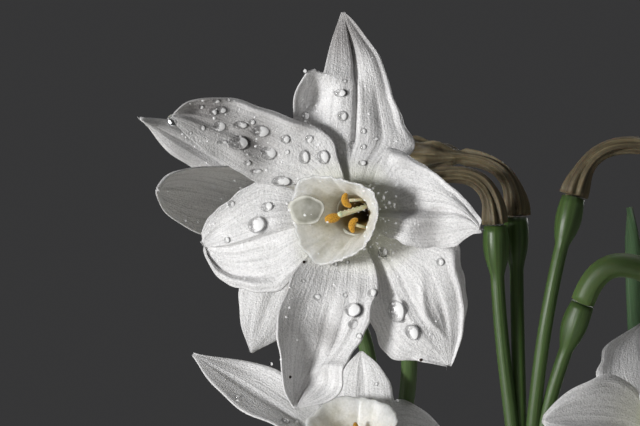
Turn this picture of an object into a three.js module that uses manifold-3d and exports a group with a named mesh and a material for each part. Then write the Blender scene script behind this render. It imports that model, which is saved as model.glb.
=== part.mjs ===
// A potted paperwhite narcissus, in millimetres, +Z up, with the origin at the middle of the pot's underside.
// A plain terracotta bulb pan holds soil and three bulbs. Each bulb sends up a fan of strap leaves and one
// or two scapes. A scape is a green stalk that ends in an umbel: pedicels that each carry a white bloom, a
// bud or a spent bloom, with the papery spathe that once wrapped them. A bloom has a slender tube, six
// tepals, a shallow cup (the corona), three anthers in its mouth and a style.
import * as THREE from "three";
import { mergeVertices } from "three/addons/utils/BufferGeometryUtils.js";
import Module from "manifold-3d";

const wasm = await Module();
wasm.setup();

// Driving dimensions
const gap = 0.3; // air between pieces that touch
const bladeThickness = 0.6;
const leafThickness = 1.2;

const pot = {
  height: 110, rimRadius: 75, rimHeight: 25, rimLip: 4, baseRadius: 50.5, wall: 6, floor: 8,
  drainRadius: 5, drainCircle: 24, drains: 3, segments: 32,
};
const soil = { edgeHeight: 99, mound: 3, segments: 20 };
const bulb = {
  foot: 67, radius: 23, bodyHeight: 60, collarHeight: 78, collarRadius: 12.2, pocketRadius: 10.8,
  pocketFloor: 63, segments: 14,
};
const bulbPlaces = [[-11, -30], [31.5, 5.5], [-20.6, 24.5]];
const fanAzimuths = [180, 0, 69]; // the way each bulb's fan of leaves opens, degrees from +X

const bloom = {
  size: 16.5, width: 10.4, tubeLength: 14, tubeRadius: 1.4, ringRadius: 2, footHalf: 1.1, cupDepth: 4.6,
};
const cup = { footRadius: 2.5, rimRadius: 4.85, lobe: 0.35, wall: 0.6, pit: 3.5 };
const stamen = { filamentRadius: 0.32, antherHalf: 1.5, antherRadius: 0.7 };
const style = { radius: 0.4, reach: 3.4 };
const bud = { length: 14, girth: 3, flatten: 1 };
const spent = { length: 15, girth: 3.6, flatten: 0.6 };
const ovary = { length: 6, swell: 0.45 };
const pedicelRadius = 0.85;
const scapeRadius = 2.9;
const scapeShrink = 0.75; // how much of that radius is left below the umbel
const sheathHalfWidth = 4.6; // half a leaf's width where it comes out of the bulb
const leafChannel = 0.22;
const stalkFoot = bulb.foot + bulb.pocketFloor + gap + 0.2; // height where leaves and scapes start
const spathe = { below: 12, away: 3.5, length: 40, halfWidth: 6.5, channel: 0.3 };

// The front bloom, measured from its throat. viewDistance is how far in front the outlines were sized.
const frontBloom = { at: [-10.3, -42, 409.9], faces: [-0.539, -0.831, -0.139], neck: [-0.12, -0.36, 0.92] };
const viewDistance = 267;
const sightLine = { right: -3.7, up: 0.1 };

// Each of its six tepals leaves the throat at its turn and is lofted from there through seven sections. A
// section is three points, on one edge, on the midrib and on the other edge, each [right, up, back] in mm.
const frontTepals = {
  top: {
    turn: 90, fan: -30, layer: 0.3,
    sections: [
      [[-3.6, 5.2, 1.5], [-0.5, 5.2, 0.5], [3.4, 4.4, -0.1]],
      [[-5.8, 8.0, 1.4], [-0.2, 7.8, 0.6], [5.8, 6.4, 0.2]],
      [[-6.3, 11.0, 0.8], [-0.1, 10.4, 0.8], [4.7, 9.3, 1.2]],
      [[-5.2, 14.3, 0.2], [-0.1, 12.4, 1.0], [3.8, 11.8, 1.8]],
      [[-3.4, 14.0, 0.6], [-0.2, 14.4, 1.2], [2.5, 14.6, 2.2]],
      [[-2.8, 16.6, 1.3], [-0.5, 16.8, 1.3], [1.2, 16.9, 2.1]],
      [[-1.6, 20.2, 1.0], [-1.4, 20.2, 1.0], [-1.2, 20.2, 1.0]],
    ],
  },
  right: {
    turn: 5, fan: -35, layer: -0.4,
    sections: [
      [[2.2, 5.0, -1.6], [4.6, 0.2, -2.4], [4.0, -2.9, -2.5]],
      [[3.2, 6.6, -1.6], [6.0, 0.3, -3.2], [5.8, -3.3, -3.4]],
      [[5.3, 6.0, -2.0], [7.4, 0.3, -4.1], [7.3, -3.4, -4.3]],
      [[7.4, 4.6, -3.0], [8.8, 0.3, -5.0], [8.8, -3.4, -5.1]],
      [[9.3, 2.3, -4.4], [10.1, 0.1, -5.8], [10.2, -3.0, -5.8]],
      [[11.0, 0.3, -5.8], [11.4, -0.6, -6.4], [11.5, -2.1, -6.4]],
      [[12.5, -1.6, -6.8], [12.5, -1.75, -6.8], [12.5, -1.9, -6.8]],
    ],
  },
  lowerRight: {
    turn: -50, fan: -30, layer: 0.3,
    sections: [
      [[7.0, -2.2, -1.7], [3.9, -5.2, -0.7], [1.3, -6.6, 0.8]],
      [[9.9, -2.9, -2.1], [5.1, -7.2, -1.0], [1.2, -9.8, 1.0]],
      [[10.7, -5.6, -1.9], [6.2, -9.2, -1.2], [2.0, -12.6, 1.0]],
      [[11.1, -8.6, -1.2], [7.2, -11.0, -1.2], [3.4, -14.3, 0.7]],
      [[11.0, -11.4, -0.6], [8.0, -12.6, -0.9], [5.3, -14.8, 0.4]],
      [[10.1, -13.6, -0.3], [8.7, -14.0, -0.5], [7.4, -15.0, 0.1]],
      [[9.4, -15.2, -0.2], [9.2, -15.2, -0.2], [9.0, -15.2, -0.2]],
    ],
  },
  bottom: {
    turn: -105, fan: -32, layer: -0.4,
    sections: [
      [[1.9, -5.8, -1.2], [-1.5, -5.4, -0.4], [-5.3, -4.6, -1.0]],
      [[2.3, -8.8, -1.3], [-2.0, -8.2, -0.4], [-7.0, -7.2, -2.0]],
      [[1.6, -11.6, -1.3], [-2.7, -11.0, -0.1], [-7.9, -10.4, -2.6]],
      [[0.4, -14.0, -1.4], [-3.5, -13.6, 0.2], [-7.9, -13.4, -2.8]],
      [[-0.7, -16.4, -1.9], [-4.4, -15.9, 0.3], [-7.5, -16.0, -2.5]],
      [[-2.8, -18.7, -1.9], [-5.4, -17.9, -0.3], [-7.0, -18.3, -1.8]],
      [[-6.0, -19.5, -1.2], [-6.15, -19.5, -1.2], [-6.3, -19.5, -1.2]],
    ],
  },
  lowerLeft: {
    turn: 190, fan: -30, layer: 0.3,
    sections: [
      [[-5.4, -5.4, 0.6], [-6.0, -1.3, 1.6], [-5.8, 2.2, 2.6]],
      [[-7.6, -7.4, 1.0], [-8.4, -1.9, 2.4], [-9.0, 3.4, 2.8]],
      [[-9.9, -7.7, 1.9], [-10.4, -2.5, 3.2], [-11.5, 2.4, 3.0]],
      [[-12.1, -7.4, 3.0], [-12.2, -3.0, 4.0], [-13.4, 1.1, 3.3]],
      [[-13.9, -6.3, 4.1], [-13.7, -3.2, 4.7], [-14.8, -0.3, 3.9]],
      [[-15.0, -4.6, 5.0], [-14.8, -3.2, 5.2], [-15.5, -1.6, 4.7]],
      [[-15.4, -3.1, 5.3], [-15.4, -2.9, 5.3], [-15.4, -2.7, 5.3]],
    ],
  },
  upperLeft: {
    turn: 140, fan: -32, layer: -0.4,
    sections: [
      [[-5.6, 2.8, 1.3], [-4.0, 4.2, 0.6], [-1.8, 5.4, -0.4]],
      [[-8.6, 2.9, 1.1], [-6.7, 5.8, 0.5], [-2.9, 7.8, -0.7]],
      [[-11.2, 3.7, 0.6], [-9.4, 7.2, 0.1], [-6.1, 9.5, -0.7]],
      [[-13.6, 5.4, 0.0], [-12.0, 8.4, -0.4], [-9.6, 10.7, -0.8]],
      [[-15.8, 6.7, -0.7], [-14.6, 9.4, -1.0], [-13.1, 11.7, -1.1]],
      [[-17.7, 8.5, -1.5], [-17.0, 10.0, -1.6], [-16.6, 11.4, -1.6]],
      [[-18.8, 9.8, -2.0], [-18.7, 10.0, -2.0], [-18.6, 10.2, -2.0]],
    ],
  },
};

// The other blooms, the buds and the spent blooms: where the throat is, the way it faces, and the way the
// neck comes up from the pedicel. turn is the angle that a bloom's first tepal is turned by, and opens how
// far its tepals open from the facing axis. tepals sets each one by itself: turn, opening, length, width
// and, where it isn't like the rest, how far it curls from foot to tip and how deeply it is cupped.
const umbels = [
  {
    foot: [-11, -30], top: [-12, -14, 362],
    blooms: [
      {
        at: [-16, -21, 408.9], faces: [-0.2, -0.97, -0.1], neck: [-0.35, -0.3, 0.85],
        tepals: [
          [154, 21, 23.3, 8.4, -83, 1.6], [140.3, 54, 20.4, 4.9, -40, -0.8], [80, 84, 11, 8],
          [25, 84, 13, 8], [250.5, 67, 13.4, 7.5, 12, -0.2], [318, 90, 12, 8],
        ],
      },
      {
        at: [-10.2, -35, 384.6], faces: [-0.2, -0.52, 0.83], neck: [0.1, -0.5, 0.75],
        tepals: [
          [160.5, 66.5, 20, 6.5, 19, 0.8], [97, 51.5, 10.3, 7.1, -39, 0], [38, 113, 10, 12, 40, 0.8],
          [-35, 100, 16, 10.4], [-88, 90, 16, 10.4], [-138, 84, 16, 10.4],
        ],
      },
      {
        at: [21.8, -34, 387.6], faces: [0.25, -0.85, 0.4], neck: [0.6, -0.5, 0.5],
        tepals: [
          [178, 79.5, 13, 8.5, 32, 1], [89, 106, 11.1, 13, -14, 0], [37, 84, 16, 10.4],
          [-22, 84, 16, 10.4], [-76, 86, 16, 10.4], [-127, 86, 16, 10.4],
        ],
      },
      { at: [12, -12, 352], faces: [0.75, 0.1, -0.6], neck: [0.8, 0.1, 0.2], turn: 20, opens: 86 },
      { at: [-38, 7, 364], faces: [-0.8, 0.55, 0.0], neck: [-0.6, 0.4, 0.45], turn: 0, opens: 84 },
    ],
    buds: [
      { at: [-34, -30, 366], faces: [-0.75, -0.6, -0.2], neck: [-0.6, -0.5, 0.45] },
      { at: [-12, 8, 378], faces: [-0.1, 0.85, 0.4], neck: [0, 0.6, 0.75] },
    ],
    spent: [],
    spathe: { azimuth: 175, lean: 150 },
  },
  {
    foot: [31.5, 5.5], top: [11, 20, 372],
    blooms: [
      { at: [44, 6, 384], faces: [0.85, -0.5, 0.1], neck: [0.6, -0.3, 0.6], turn: 10, opens: 82 },
      { at: [36, 46, 367], faces: [0.6, 0.78, -0.1], neck: [0.5, 0.6, 0.35], turn: 35, opens: 85 },
      { at: [2, 52, 362], faces: [-0.3, 0.92, -0.1], neck: [-0.2, 0.7, 0.3], turn: 5, opens: 80 },
    ],
    buds: [
      { at: [26.2, 12, 402.5], faces: [0.85, -0.2, -0.45], neck: [0.3, -0.2, 0.9] },
      { at: [35, 13, 390], faces: [0.85, 0.3, 0.35], neck: [0.5, 0, 0.8] },
    ],
    spent: [
      { at: [0.2, 16, 414.6], faces: [-0.95, -0.1, -0.15], neck: [-0.05, -0.1, 1] },
      { at: [3.6, 24, 417], faces: [-0.9, 0.25, 0.05], neck: [0.0, 0.1, 1] },
      { at: [25.6, 18, 418.2], faces: [0.95, 0.1, -0.1], neck: [0.25, 0.1, 1] },
    ],
    spathe: { azimuth: 320, lean: 150 },
  },
  {
    foot: [-23.5, 26], top: [-44, 34, 322],
    blooms: [
      { at: [-62, 8, 338], faces: [-0.5, -0.85, 0.1], neck: [-0.4, -0.6, 0.65], turn: 15, opens: 84 },
      { at: [-80, 44, 334], faces: [-0.95, 0.1, 0.15], neck: [-0.7, 0, 0.6], turn: 40, opens: 86 },
      { at: [-48, 68, 338], faces: [-0.2, 0.95, 0.1], neck: [-0.1, 0.6, 0.7], turn: 0, opens: 82 },
    ],
    buds: [{ at: [-46, 30, 354], faces: [-0.5, -0.3, 0.8], neck: [-0.1, -0.1, 1] }],
    spent: [],
    spathe: { azimuth: 330, lean: 140 },
  },
];
const closedScape = { foot: [-17, 23.5], top: [-6, 13, 262], spatheLength: 46, spatheRadius: 6.4 };

// Leaves: bulb, place in its fan, azimuth and angle of lean at the tip, length, greatest width, twist.
const leaves = [
  [0, 4.4, 200, 20, 214, 14, 20], [0, 6.6, 178, 54, 240, 15, -15], [0, 8.6, 205, 88, 214, 15, 10],
  [0, -4.4, 345, 16, 220, 14, -25], [0, -6.6, 318, 62, 232, 15, 20],
  [1, 4.4, 116, 14, 282, 12, -100], [1, 6.6, 30, 48, 256, 15, -20], [1, 8.6, 335, 80, 228, 15, 15],
  [1, -6.6, 192, 28, 205, 13, -10],
  [2, 5.6, 84, 20, 232, 14, -5], [2, 7.4, 50, 50, 240, 15, 15], [2, 9, 105, 82, 228, 15, -20],
  [2, -6.6, 205, 62, 226, 15, -15],
];

// Materials
const finish = (color, roughness) => new THREE.MeshStandardMaterial({ color, roughness, metalness: 0 });
const terracotta = finish(0xb5623f, 0.85);
const compost = finish(0x3a2a20, 0.95);
const tunic = finish(0x7a4a2b, 0.6);
const leafGreen = finish(0x5f8450, 0.5);
const stalkGreen = finish(0x7fa05a, 0.45);
const petalWhite = finish(0xf3f3ef, 0.5);
const budGreen = finish(0xdfe6c4, 0.5);
const witheredTan = finish(0xa39a7e, 0.7);
const parchment = finish(0xc9ad7c, 0.7);

// Solids
const vector = ([x, y, z]) => new THREE.Vector3(x, y, z);
const radians = THREE.MathUtils.degToRad;
const { lerp, smoothstep } = THREE.MathUtils;
const up = new THREE.Vector3(0, 0, 1);

function solidOf(geometry) {
  const bare = new THREE.BufferGeometry();
  bare.setAttribute("position", geometry.getAttribute("position"));
  bare.setIndex(geometry.index);
  const merged = mergeVertices(bare, 1e-4);
  const triVerts = new Uint32Array(merged.index.array);
  const vertProperties = new Float32Array(merged.attributes.position.array);
  const made = new wasm.Manifold(new wasm.Mesh({ numProp: 3, vertProperties, triVerts }));
  if (made.volume() > 0) return made;
  for (let i = 0; i < triVerts.length; i += 3) {
    [triVerts[i + 1], triVerts[i + 2]] = [triVerts[i + 2], triVerts[i + 1]];
  }
  return new wasm.Manifold(new wasm.Mesh({ numProp: 3, vertProperties, triVerts }));
}

const joined = (solids) => solids.reduce((whole, next) => whole.add(next));

// The largest body of a solid, without the scraps that a cut can leave.
function mainBody(solid) {
  return solid.decompose().sort((a, b) => b.volume() - a.volume())[0];
}

function meshOf(name, solid, material) {
  const made = solid.getMesh();
  const positions = new Float32Array(made.numVert * 3);
  for (let i = 0; i < made.numVert; i++) {
    positions.set(made.vertProperties.subarray(i * made.numProp, i * made.numProp + 3), i * 3);
  }
  const geometry = new THREE.BufferGeometry();
  geometry.setAttribute("position", new THREE.BufferAttribute(positions, 3));
  geometry.setIndex(new THREE.BufferAttribute(made.triVerts, 1));
  geometry.computeVertexNormals();
  const mesh = new THREE.Mesh(geometry, material);
  mesh.name = name;
  return mesh;
}

// A closed solid through rings of points, each ring with the same count, with a cap over each end.
function ringSolid(rings) {
  const count = rings[0].length;
  const positions = [];
  const index = [];
  rings.forEach((ring) => ring.forEach((p) => positions.push(p.x, p.y, p.z)));
  for (let i = 0; i + 1 < rings.length; i++) {
    for (let j = 0; j < count; j++) {
      const k = (j + 1) % count;
      const a = i * count;
      const b = a + count;
      index.push(a + j, a + k, b + k, a + j, b + k, b + j);
    }
  }
  [0, rings.length - 1].forEach((end) => {
    const middle = new THREE.Vector3();
    rings[end].forEach((p) => middle.addScaledVector(p, 1 / count));
    const m = positions.length / 3;
    positions.push(middle.x, middle.y, middle.z);
    for (let j = 0; j < count; j++) {
      const a = end * count + j;
      const b = end * count + ((j + 1) % count);
      index.push(...(end === 0 ? [m, b, a] : [m, a, b]));
    }
  });
  const geometry = new THREE.BufferGeometry();
  geometry.setAttribute("position", new THREE.Float32BufferAttribute(positions, 3));
  geometry.setIndex(index);
  return solidOf(geometry);
}

// A round stalk along a curve, with a ring at each station (a share from 0 to 1). widen flattens it.
function stalkAt(curve, stations, radiusAt, sides, widen = 1) {
  let across = new THREE.Vector3(1, 0.3, 0.1);
  return ringSolid(stations.map((share) => {
    const along = curve.getTangentAt(share);
    const middle = curve.getPointAt(share);
    across = across.clone().addScaledVector(along, -along.dot(across)).normalize();
    const aside = new THREE.Vector3().crossVectors(along, across);
    const r = radiusAt(share);
    const ring = [];
    for (let j = 0; j < sides; j++) {
      const turn = (2 * Math.PI * j) / sides;
      ring.push(middle.clone().addScaledVector(across, r * widen * Math.cos(turn))
        .addScaledVector(aside, r * Math.sin(turn)));
    }
    return ring;
  }));
}

const evenly = (steps) => Array.from({ length: steps + 1 }, (_, i) => i / steps);
const stalk = (curve, radiusAt, sides, steps, widen) => stalkAt(curve, evenly(steps), radiusAt, sides, widen);

// A blade of even thickness about a surface given by surfaceAt(along, across), across from -1 to 1.
// Both faces are split into the same triangles, so a waved blade's faces never cross.
function blade(surfaceAt, alongSteps, acrossSteps, thickness) {
  const middle = [];
  for (let i = 0; i <= alongSteps; i++) {
    for (let j = 0; j <= acrossSteps; j++) middle.push(surfaceAt(i / alongSteps, (2 * j) / acrossSteps - 1));
  }
  const wide = acrossSteps + 1;
  const at = (i, j) => middle[i * wide + j];
  const positions = [];
  [0.5, -0.5].forEach((side) => {
    for (let i = 0; i <= alongSteps; i++) {
      for (let j = 0; j <= acrossSteps; j++) {
        const run = at(Math.min(i + 1, alongSteps), j).clone().sub(at(Math.max(i - 1, 0), j));
        const span = at(i, Math.min(j + 1, acrossSteps)).clone().sub(at(i, Math.max(j - 1, 0)));
        const p = at(i, j).clone().addScaledVector(run.cross(span).normalize(), side * thickness);
        positions.push(p.x, p.y, p.z);
      }
    }
  });
  const back = middle.length;
  const index = [];
  const wall = (a, b) => index.push(a, b, b + back, a, b + back, a + back);
  for (let i = 0; i < alongSteps; i++) {
    for (let j = 0; j < acrossSteps; j++) {
      const a = i * wide + j;
      index.push(a, a + wide, a + wide + 1, a, a + wide + 1, a + 1);
      index.push(a + back, a + back + wide + 1, a + back + wide, a + back, a + back + 1, a + back + wide + 1);
    }
    wall((i + 1) * wide, i * wide);
    wall(i * wide + acrossSteps, (i + 1) * wide + acrossSteps);
  }
  for (let j = 0; j < acrossSteps; j++) {
    wall(j, j + 1);
    wall(alongSteps * wide + j + 1, alongSteps * wide + j);
  }
  const geometry = new THREE.BufferGeometry();
  geometry.setAttribute("position", new THREE.Float32BufferAttribute(positions, 3));
  geometry.setIndex(index);
  return solidOf(geometry);
}

function lathe(profile, segments) {
  const points = profile.map(([r, z]) => new THREE.Vector2(r, z));
  return solidOf(new THREE.LatheGeometry(points, segments).rotateX(Math.PI / 2));
}

// The surface lofted through a tepal's sections: a smooth line along each edge and the midrib, and a
// parabola across through the three.
function tepalSurface(sections) {
  const line = (k) => new THREE.CatmullRomCurve3(sections.map((s) => s[k]), false, "catmullrom", 0.5);
  const [edge, rib, farEdge] = [0, 1, 2].map(line);
  return (along, across) => {
    const [a, m, b] = [edge, rib, farEdge].map((curve) => curve.getPoint(along));
    const half = b.clone().sub(a).multiplyScalar(0.5);
    const bow = a.clone().add(b).multiplyScalar(0.5).sub(m);
    return m.addScaledVector(half, across).addScaledVector(bow, across * across);
  };
}

// The axes of a bloom: right, up and the way it faces, as seen by someone it faces.
function axesOf(faces) {
  const ahead = vector(faces).normalize();
  const right = new THREE.Vector3().crossVectors(up, ahead).normalize();
  return { ahead, right, over: new THREE.Vector3().crossVectors(ahead, right) };
}

function placed(at, axes, right, over, ahead) {
  return at.clone().addScaledVector(axes.right, right).addScaledVector(axes.over, over)
    .addScaledVector(axes.ahead, ahead);
}

// The front bloom's sections, moved from their outlines to where they stand. A point further back was
// sized smaller than it is, so it is spread out by its distance. The foot is on the ring at the throat.
function frontSections({ turn, fan, layer, sections }) {
  const throat = vector(frontBloom.at);
  const axes = axesOf(frontBloom.faces);
  const foot = [-fan, 0, fan].map((aside) => {
    const way = radians(turn + aside);
    return placed(throat, axes, bloom.ringRadius * Math.cos(way), bloom.ringRadius * Math.sin(way), -layer);
  });
  const outline = sections.map((section) => section.map(([right, above, back]) => {
    const spread = 1 + back / viewDistance;
    const x = sightLine.right + (right - sightLine.right) * spread;
    const z = sightLine.up + (above - sightLine.up) * spread;
    return throat.clone().add(new THREE.Vector3(x, back, z));
  }));
  return [foot, ...outline];
}

// A plain tepal's sections. It leaves the ring round the throat at its turn, opens away from the facing
// axis and widens to its middle. An inner one lies in front and its edges lift; an outer one's droop.
const plainTepal = { sections: 7, curl: 26, innerCup: 0.55, outerCup: -0.3, innerLift: 0.5 };
function plainSections(at, axes, inner, [turn, opens, length, width, curl, cup]) {
  const outward = radians(turn);
  const steps = plainTepal.sections - 1;
  const curling = curl ?? plainTepal.curl;
  const cupping = cup ?? (inner ? plainTepal.innerCup : plainTepal.outerCup);
  let radial = bloom.ringRadius;
  let ahead = inner ? plainTepal.innerLift : -plainTepal.innerLift;
  const sections = [];
  for (let i = 0; i <= steps; i++) {
    const share = i / steps;
    const opening = radians(opens + curling * (share - 0.5));
    const swell = Math.sin(Math.PI * share ** 0.8) ** 0.75;
    const half = Math.max(0.15, lerp(bloom.footHalf * (1 - share), width / 2, swell));
    const lift = (cupping * half * half) / width;
    sections.push([-1, 0, 1].map((side) => {
      const out = radial - Math.abs(side) * lift * Math.cos(opening);
      const forth = ahead + Math.abs(side) * lift * Math.sin(opening);
      const x = out * Math.cos(outward) - side * half * Math.sin(outward);
      const y = out * Math.sin(outward) + side * half * Math.cos(outward);
      return placed(at, axes, x, y, forth);
    }));
    radial += (length / steps) * Math.sin(opening);
    ahead += (length / steps) * Math.cos(opening);
  }
  return sections;
}

// The cup's radius round the axis: a flare to the rim with three broad lobes, and one slack lobe more.
function cupRadius(rise, turn, slackLobe) {
  const away = Math.abs(THREE.MathUtils.euclideanModulo(turn, 2 * Math.PI) - Math.PI);
  const slack = slackLobe * Math.exp(-((away / 0.6) ** 2));
  const lobes = cup.lobe * Math.cos(3 * (turn - radians(8))) + slack;
  return lerp(cup.footRadius, cup.rimRadius, rise ** 1.3) + lobes * rise * rise;
}

function ringAt(at, axes, ahead, sides, radiusAt) {
  const ring = [];
  for (let j = 0; j < sides; j++) {
    const turn = (2 * Math.PI * j) / sides;
    ring.push(placed(at, axes, radiusAt(turn) * Math.cos(turn), radiusAt(turn) * Math.sin(turn), ahead));
  }
  return ring;
}

function cupRings(at, axes, sides, bands, slackLobe, inset, top) {
  const made = [];
  for (let i = 0; i <= bands; i++) {
    const rise = i / bands;
    const height = rise * bloom.cupDepth * top + (inset > 0 ? 0.7 * (1 - rise) : 0);
    made.push(ringAt(at, axes, height, sides, (turn) => cupRadius(rise, turn, slackLobe) - inset));
  }
  return made;
}

// The tube from the ovary to the throat bends from the neck's direction to the way the bloom faces.
function tubeCurve(at, ahead, neck) {
  const half = bloom.tubeLength / 2;
  const foot = at.clone().addScaledVector(ahead, -half).addScaledVector(neck, -half);
  return new THREE.CubicBezierCurve3(
    foot,
    foot.clone().addScaledVector(neck, half * 0.7),
    at.clone().addScaledVector(ahead, -half * 0.7),
    at,
  );
}

// Rings round that tube, turned so that the last one lines up with the bloom's own axes.
function tubeRings(at, axes, neck, sides, steps) {
  const curve = tubeCurve(at, axes.ahead, neck);
  const rings = [];
  for (let i = 0; i < steps; i++) {
    const along = curve.getTangentAt(i / steps);
    const right = axes.right.clone().addScaledVector(along, -along.dot(axes.right)).normalize();
    const turned = { right, over: new THREE.Vector3().crossVectors(along, right), ahead: along };
    rings.push(ringAt(curve.getPointAt(i / steps), turned, 0, sides, () => bloom.tubeRadius));
  }
  return rings;
}

// An anther on its filament, which rises from the wall of the throat.
function anther(at, axes, [right, over, ahead], lean) {
  const foot = placed(at, axes, right * 0.9, over * 0.9, ahead - 4.2);
  const middle = placed(at, axes, right, over, ahead);
  const along = placed(new THREE.Vector3(), axes, ...lean).normalize();
  const filament = stalk(new THREE.LineCurve3(foot, middle), () => stamen.filamentRadius, 3, 1);
  const body = new THREE.LineCurve3(
    middle.clone().addScaledVector(along, -stamen.antherHalf),
    middle.clone().addScaledVector(along, stamen.antherHalf),
  );
  const girth = (s) => lerp(0.2, stamen.antherRadius, Math.sin(Math.PI * s));
  return filament.add(stalk(body, girth, 4, 2));
}

// A bloom in one solid: tube, tepals, hollow cup, anthers and style.
function bloomSolid(at, axes, neck, tepals, fine) {
  const [sides, bands, slackLobe] = fine ? [12, 3, 0.7] : [8, 2, 0];
  const outside = ringSolid([
    ...tubeRings(at, axes, neck, sides, fine ? 4 : 3),
    ringAt(at, axes, -1, sides, () => bloom.tubeRadius),
    ...cupRings(at, axes, sides, bands, slackLobe, 0, 1),
  ]);
  const inside = ringSolid([
    ringAt(at, axes, -cup.pit, sides, () => 0.8),
    ...cupRings(at, axes, sides, fine ? bands : 1, slackLobe, cup.wall, 1.02),
  ]);
  const shell = joined([...tepals, outside]).subtract(inside);
  const pitFloor = placed(at, axes, 0, 0, -cup.pit - 0.4);
  const crown = fine ? [
    stalk(new THREE.LineCurve3(pitFloor, placed(at, axes, 0, 0, style.reach)), () => style.radius, 4, 1),
    anther(at, axes, [-0.7, 0.1, 3.9], [0.6, 0.1, 0.8]),
    anther(at, axes, [-0.1, 1.6, 2.3], [0.7, 0.2, 0.6]),
    anther(at, axes, [0.5, -0.9, 2.1], [0.5, -0.3, 0.7]),
  ] : [0, 1, 2].map((k) => {
    const way = radians(90 + 120 * k);
    const tip = placed(at, axes, 1.5 * Math.cos(way), 1.5 * Math.sin(way), 3);
    return stalk(new THREE.LineCurve3(pitFloor, tip), (s) => 0.35 + 0.4 * Math.sin(Math.PI * s ** 2), 3, 2);
  });
  return mainBody(joined([shell, ...crown]));
}

// Pedicel and ovary of one bloom or bud, from the head of the scape to the foot of the tube.
function pedicel(top, at, ahead, neck) {
  const foot = tubeCurve(at, ahead, neck).getPoint(0).addScaledVector(neck, -gap);
  const below = foot.clone().addScaledVector(neck, -ovary.length);
  const reach = below.distanceTo(top);
  const start = below.clone().sub(top).normalize().lerp(up, 0.35).normalize();
  const root = top.clone().addScaledVector(start, 1.2).addScaledVector(up, -2.2);
  const bend = new THREE.CurvePath();
  bend.add(new THREE.CubicBezierCurve3(
    root,
    root.clone().addScaledVector(start, reach * 0.4),
    below.clone().addScaledVector(neck, -reach * 0.35),
    below,
  ));
  bend.add(new THREE.LineCurve3(below, foot));
  const seedBox = 1 - ovary.length / bend.getLength();
  const radiusAt = (s) => {
    const share = Math.max(0, (s - seedBox) / (1 - seedBox));
    return lerp(pedicelRadius, bloom.tubeRadius, share) + ovary.swell * Math.sin(Math.PI * share);
  };
  const stations = [0, 0.33, 0.66, 1].map((s) => s * seedBox);
  stations.push(...[0.3, 0.7, 1].map((s) => lerp(seedBox, 1, s)));
  return stalkAt(bend, stations, radiusAt, 5);
}

// A closed bud on its tube, or a spent bloom, whose tepals have shrunk to a flattened spindle.
function spindleSolid(at, axes, neck, { length, girth, flatten }) {
  const rings = tubeRings(at, axes, neck, 6, 3);
  [0, 0.2, 0.45, 0.7, 0.9, 1].forEach((s) => {
    const r = 0.35 + 1.1 * (1 - s) + (girth - 0.7) * Math.sin(Math.PI * s ** 0.9) ** 0.8;
    rings.push(ringAt(at, axes, length * s, 6, (turn) => r * lerp(1, flatten, Math.sin(turn) ** 2)));
  });
  return ringSolid(rings);
}

// A strap: a spine that rises and leans over, and a channelled blade across it.
function strap(foot, stackWay, azimuth, lean, length, halfWidthAt, twist, channel, bendPower) {
  const steps = 48;
  const spine = [foot.clone()];
  const tangents = [];
  for (let i = 0; i <= steps; i++) {
    const tilt = radians(lean * (i / steps) ** bendPower);
    const way = radians(azimuth);
    tangents.push(new THREE.Vector3(
      Math.sin(tilt) * Math.cos(way), Math.sin(tilt) * Math.sin(way), Math.cos(tilt)));
    if (i < steps) spine.push(spine[i].clone().addScaledVector(tangents[i], length / steps));
  }
  return (along, across) => {
    const i = Math.round(along * steps);
    const turned = radians(lerp(stackWay, azimuth + twist, smoothstep(along, 0, 0.8)));
    const face = new THREE.Vector3(Math.cos(turned), Math.sin(turned), 0);
    const side = new THREE.Vector3().crossVectors(tangents[i], face).normalize();
    const hollow = new THREE.Vector3().crossVectors(tangents[i], side);
    return spine[i].clone().addScaledVector(side, across * halfWidthAt(along))
      .addScaledVector(hollow, channel * halfWidthAt(along) * across * across);
  };
}

// Half the width of a strap leaf: narrow in the sheath, widest past the middle, blunt at the tip.
const leafHalfWidth = (width) => (s) => {
  const body = lerp(sheathHalfWidth, width / 2, smoothstep(s, 0, 0.45));
  const tip = Math.sqrt(Math.max(0, 1 - Math.max(0, (s - 0.72) / 0.28) ** 2.2));
  return Math.max(0.6, body * tip);
};

function leafSolid([home, place, azimuth, lean, length, width, twist]) {
  const side = place > 0 ? fanAzimuths[home] : fanAzimuths[home] + 180;
  const nearest = side + (((azimuth - side + 540) % 360) - 180);
  const foot = new THREE.Vector3(
    bulbPlaces[home][0] + Math.abs(place) * Math.cos(radians(side)),
    bulbPlaces[home][1] + Math.abs(place) * Math.sin(radians(side)),
    stalkFoot,
  );
  const surface = strap(foot, side, nearest, lean, length, leafHalfWidth(width), twist, leafChannel, 1.7);
  return blade(surface, 10, 2, leafThickness);
}

function scapeCurve(foot, top) {
  const base = new THREE.Vector3(foot[0], foot[1], stalkFoot);
  const rise = top.z - base.z;
  return new THREE.CubicBezierCurve3(
    base,
    base.clone().addScaledVector(up, rise * 0.4),
    top.clone().lerp(base, 0.35).addScaledVector(up, -rise * 0.02),
    top,
  );
}

function scapeSolid(curve, pedicels) {
  const taper = (s) => scapeRadius * lerp(1, scapeShrink, s) + 0.5 * s ** 14;
  return joined([stalk(curve, taper, 7, 7, 1.15), ...pedicels]);
}

// The dry bract of an open umbel starts below the scape's head, turns over and hangs.
function spatheSolid(curve, { azimuth, lean }) {
  const way = radians(azimuth);
  const foot = curve.getPointAt(1 - spathe.below / curve.getLength());
  foot.add(new THREE.Vector3(spathe.away * Math.cos(way), spathe.away * Math.sin(way), 0));
  const half = (s) => Math.max(0.5, spathe.halfWidth * Math.sin(Math.PI * (0.2 + 0.8 * s)) ** 0.8);
  const surface = strap(foot, azimuth, azimuth, lean, spathe.length, half, 25, spathe.channel, 0.45);
  return blade(surface, 6, 2, bladeThickness);
}

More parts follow.
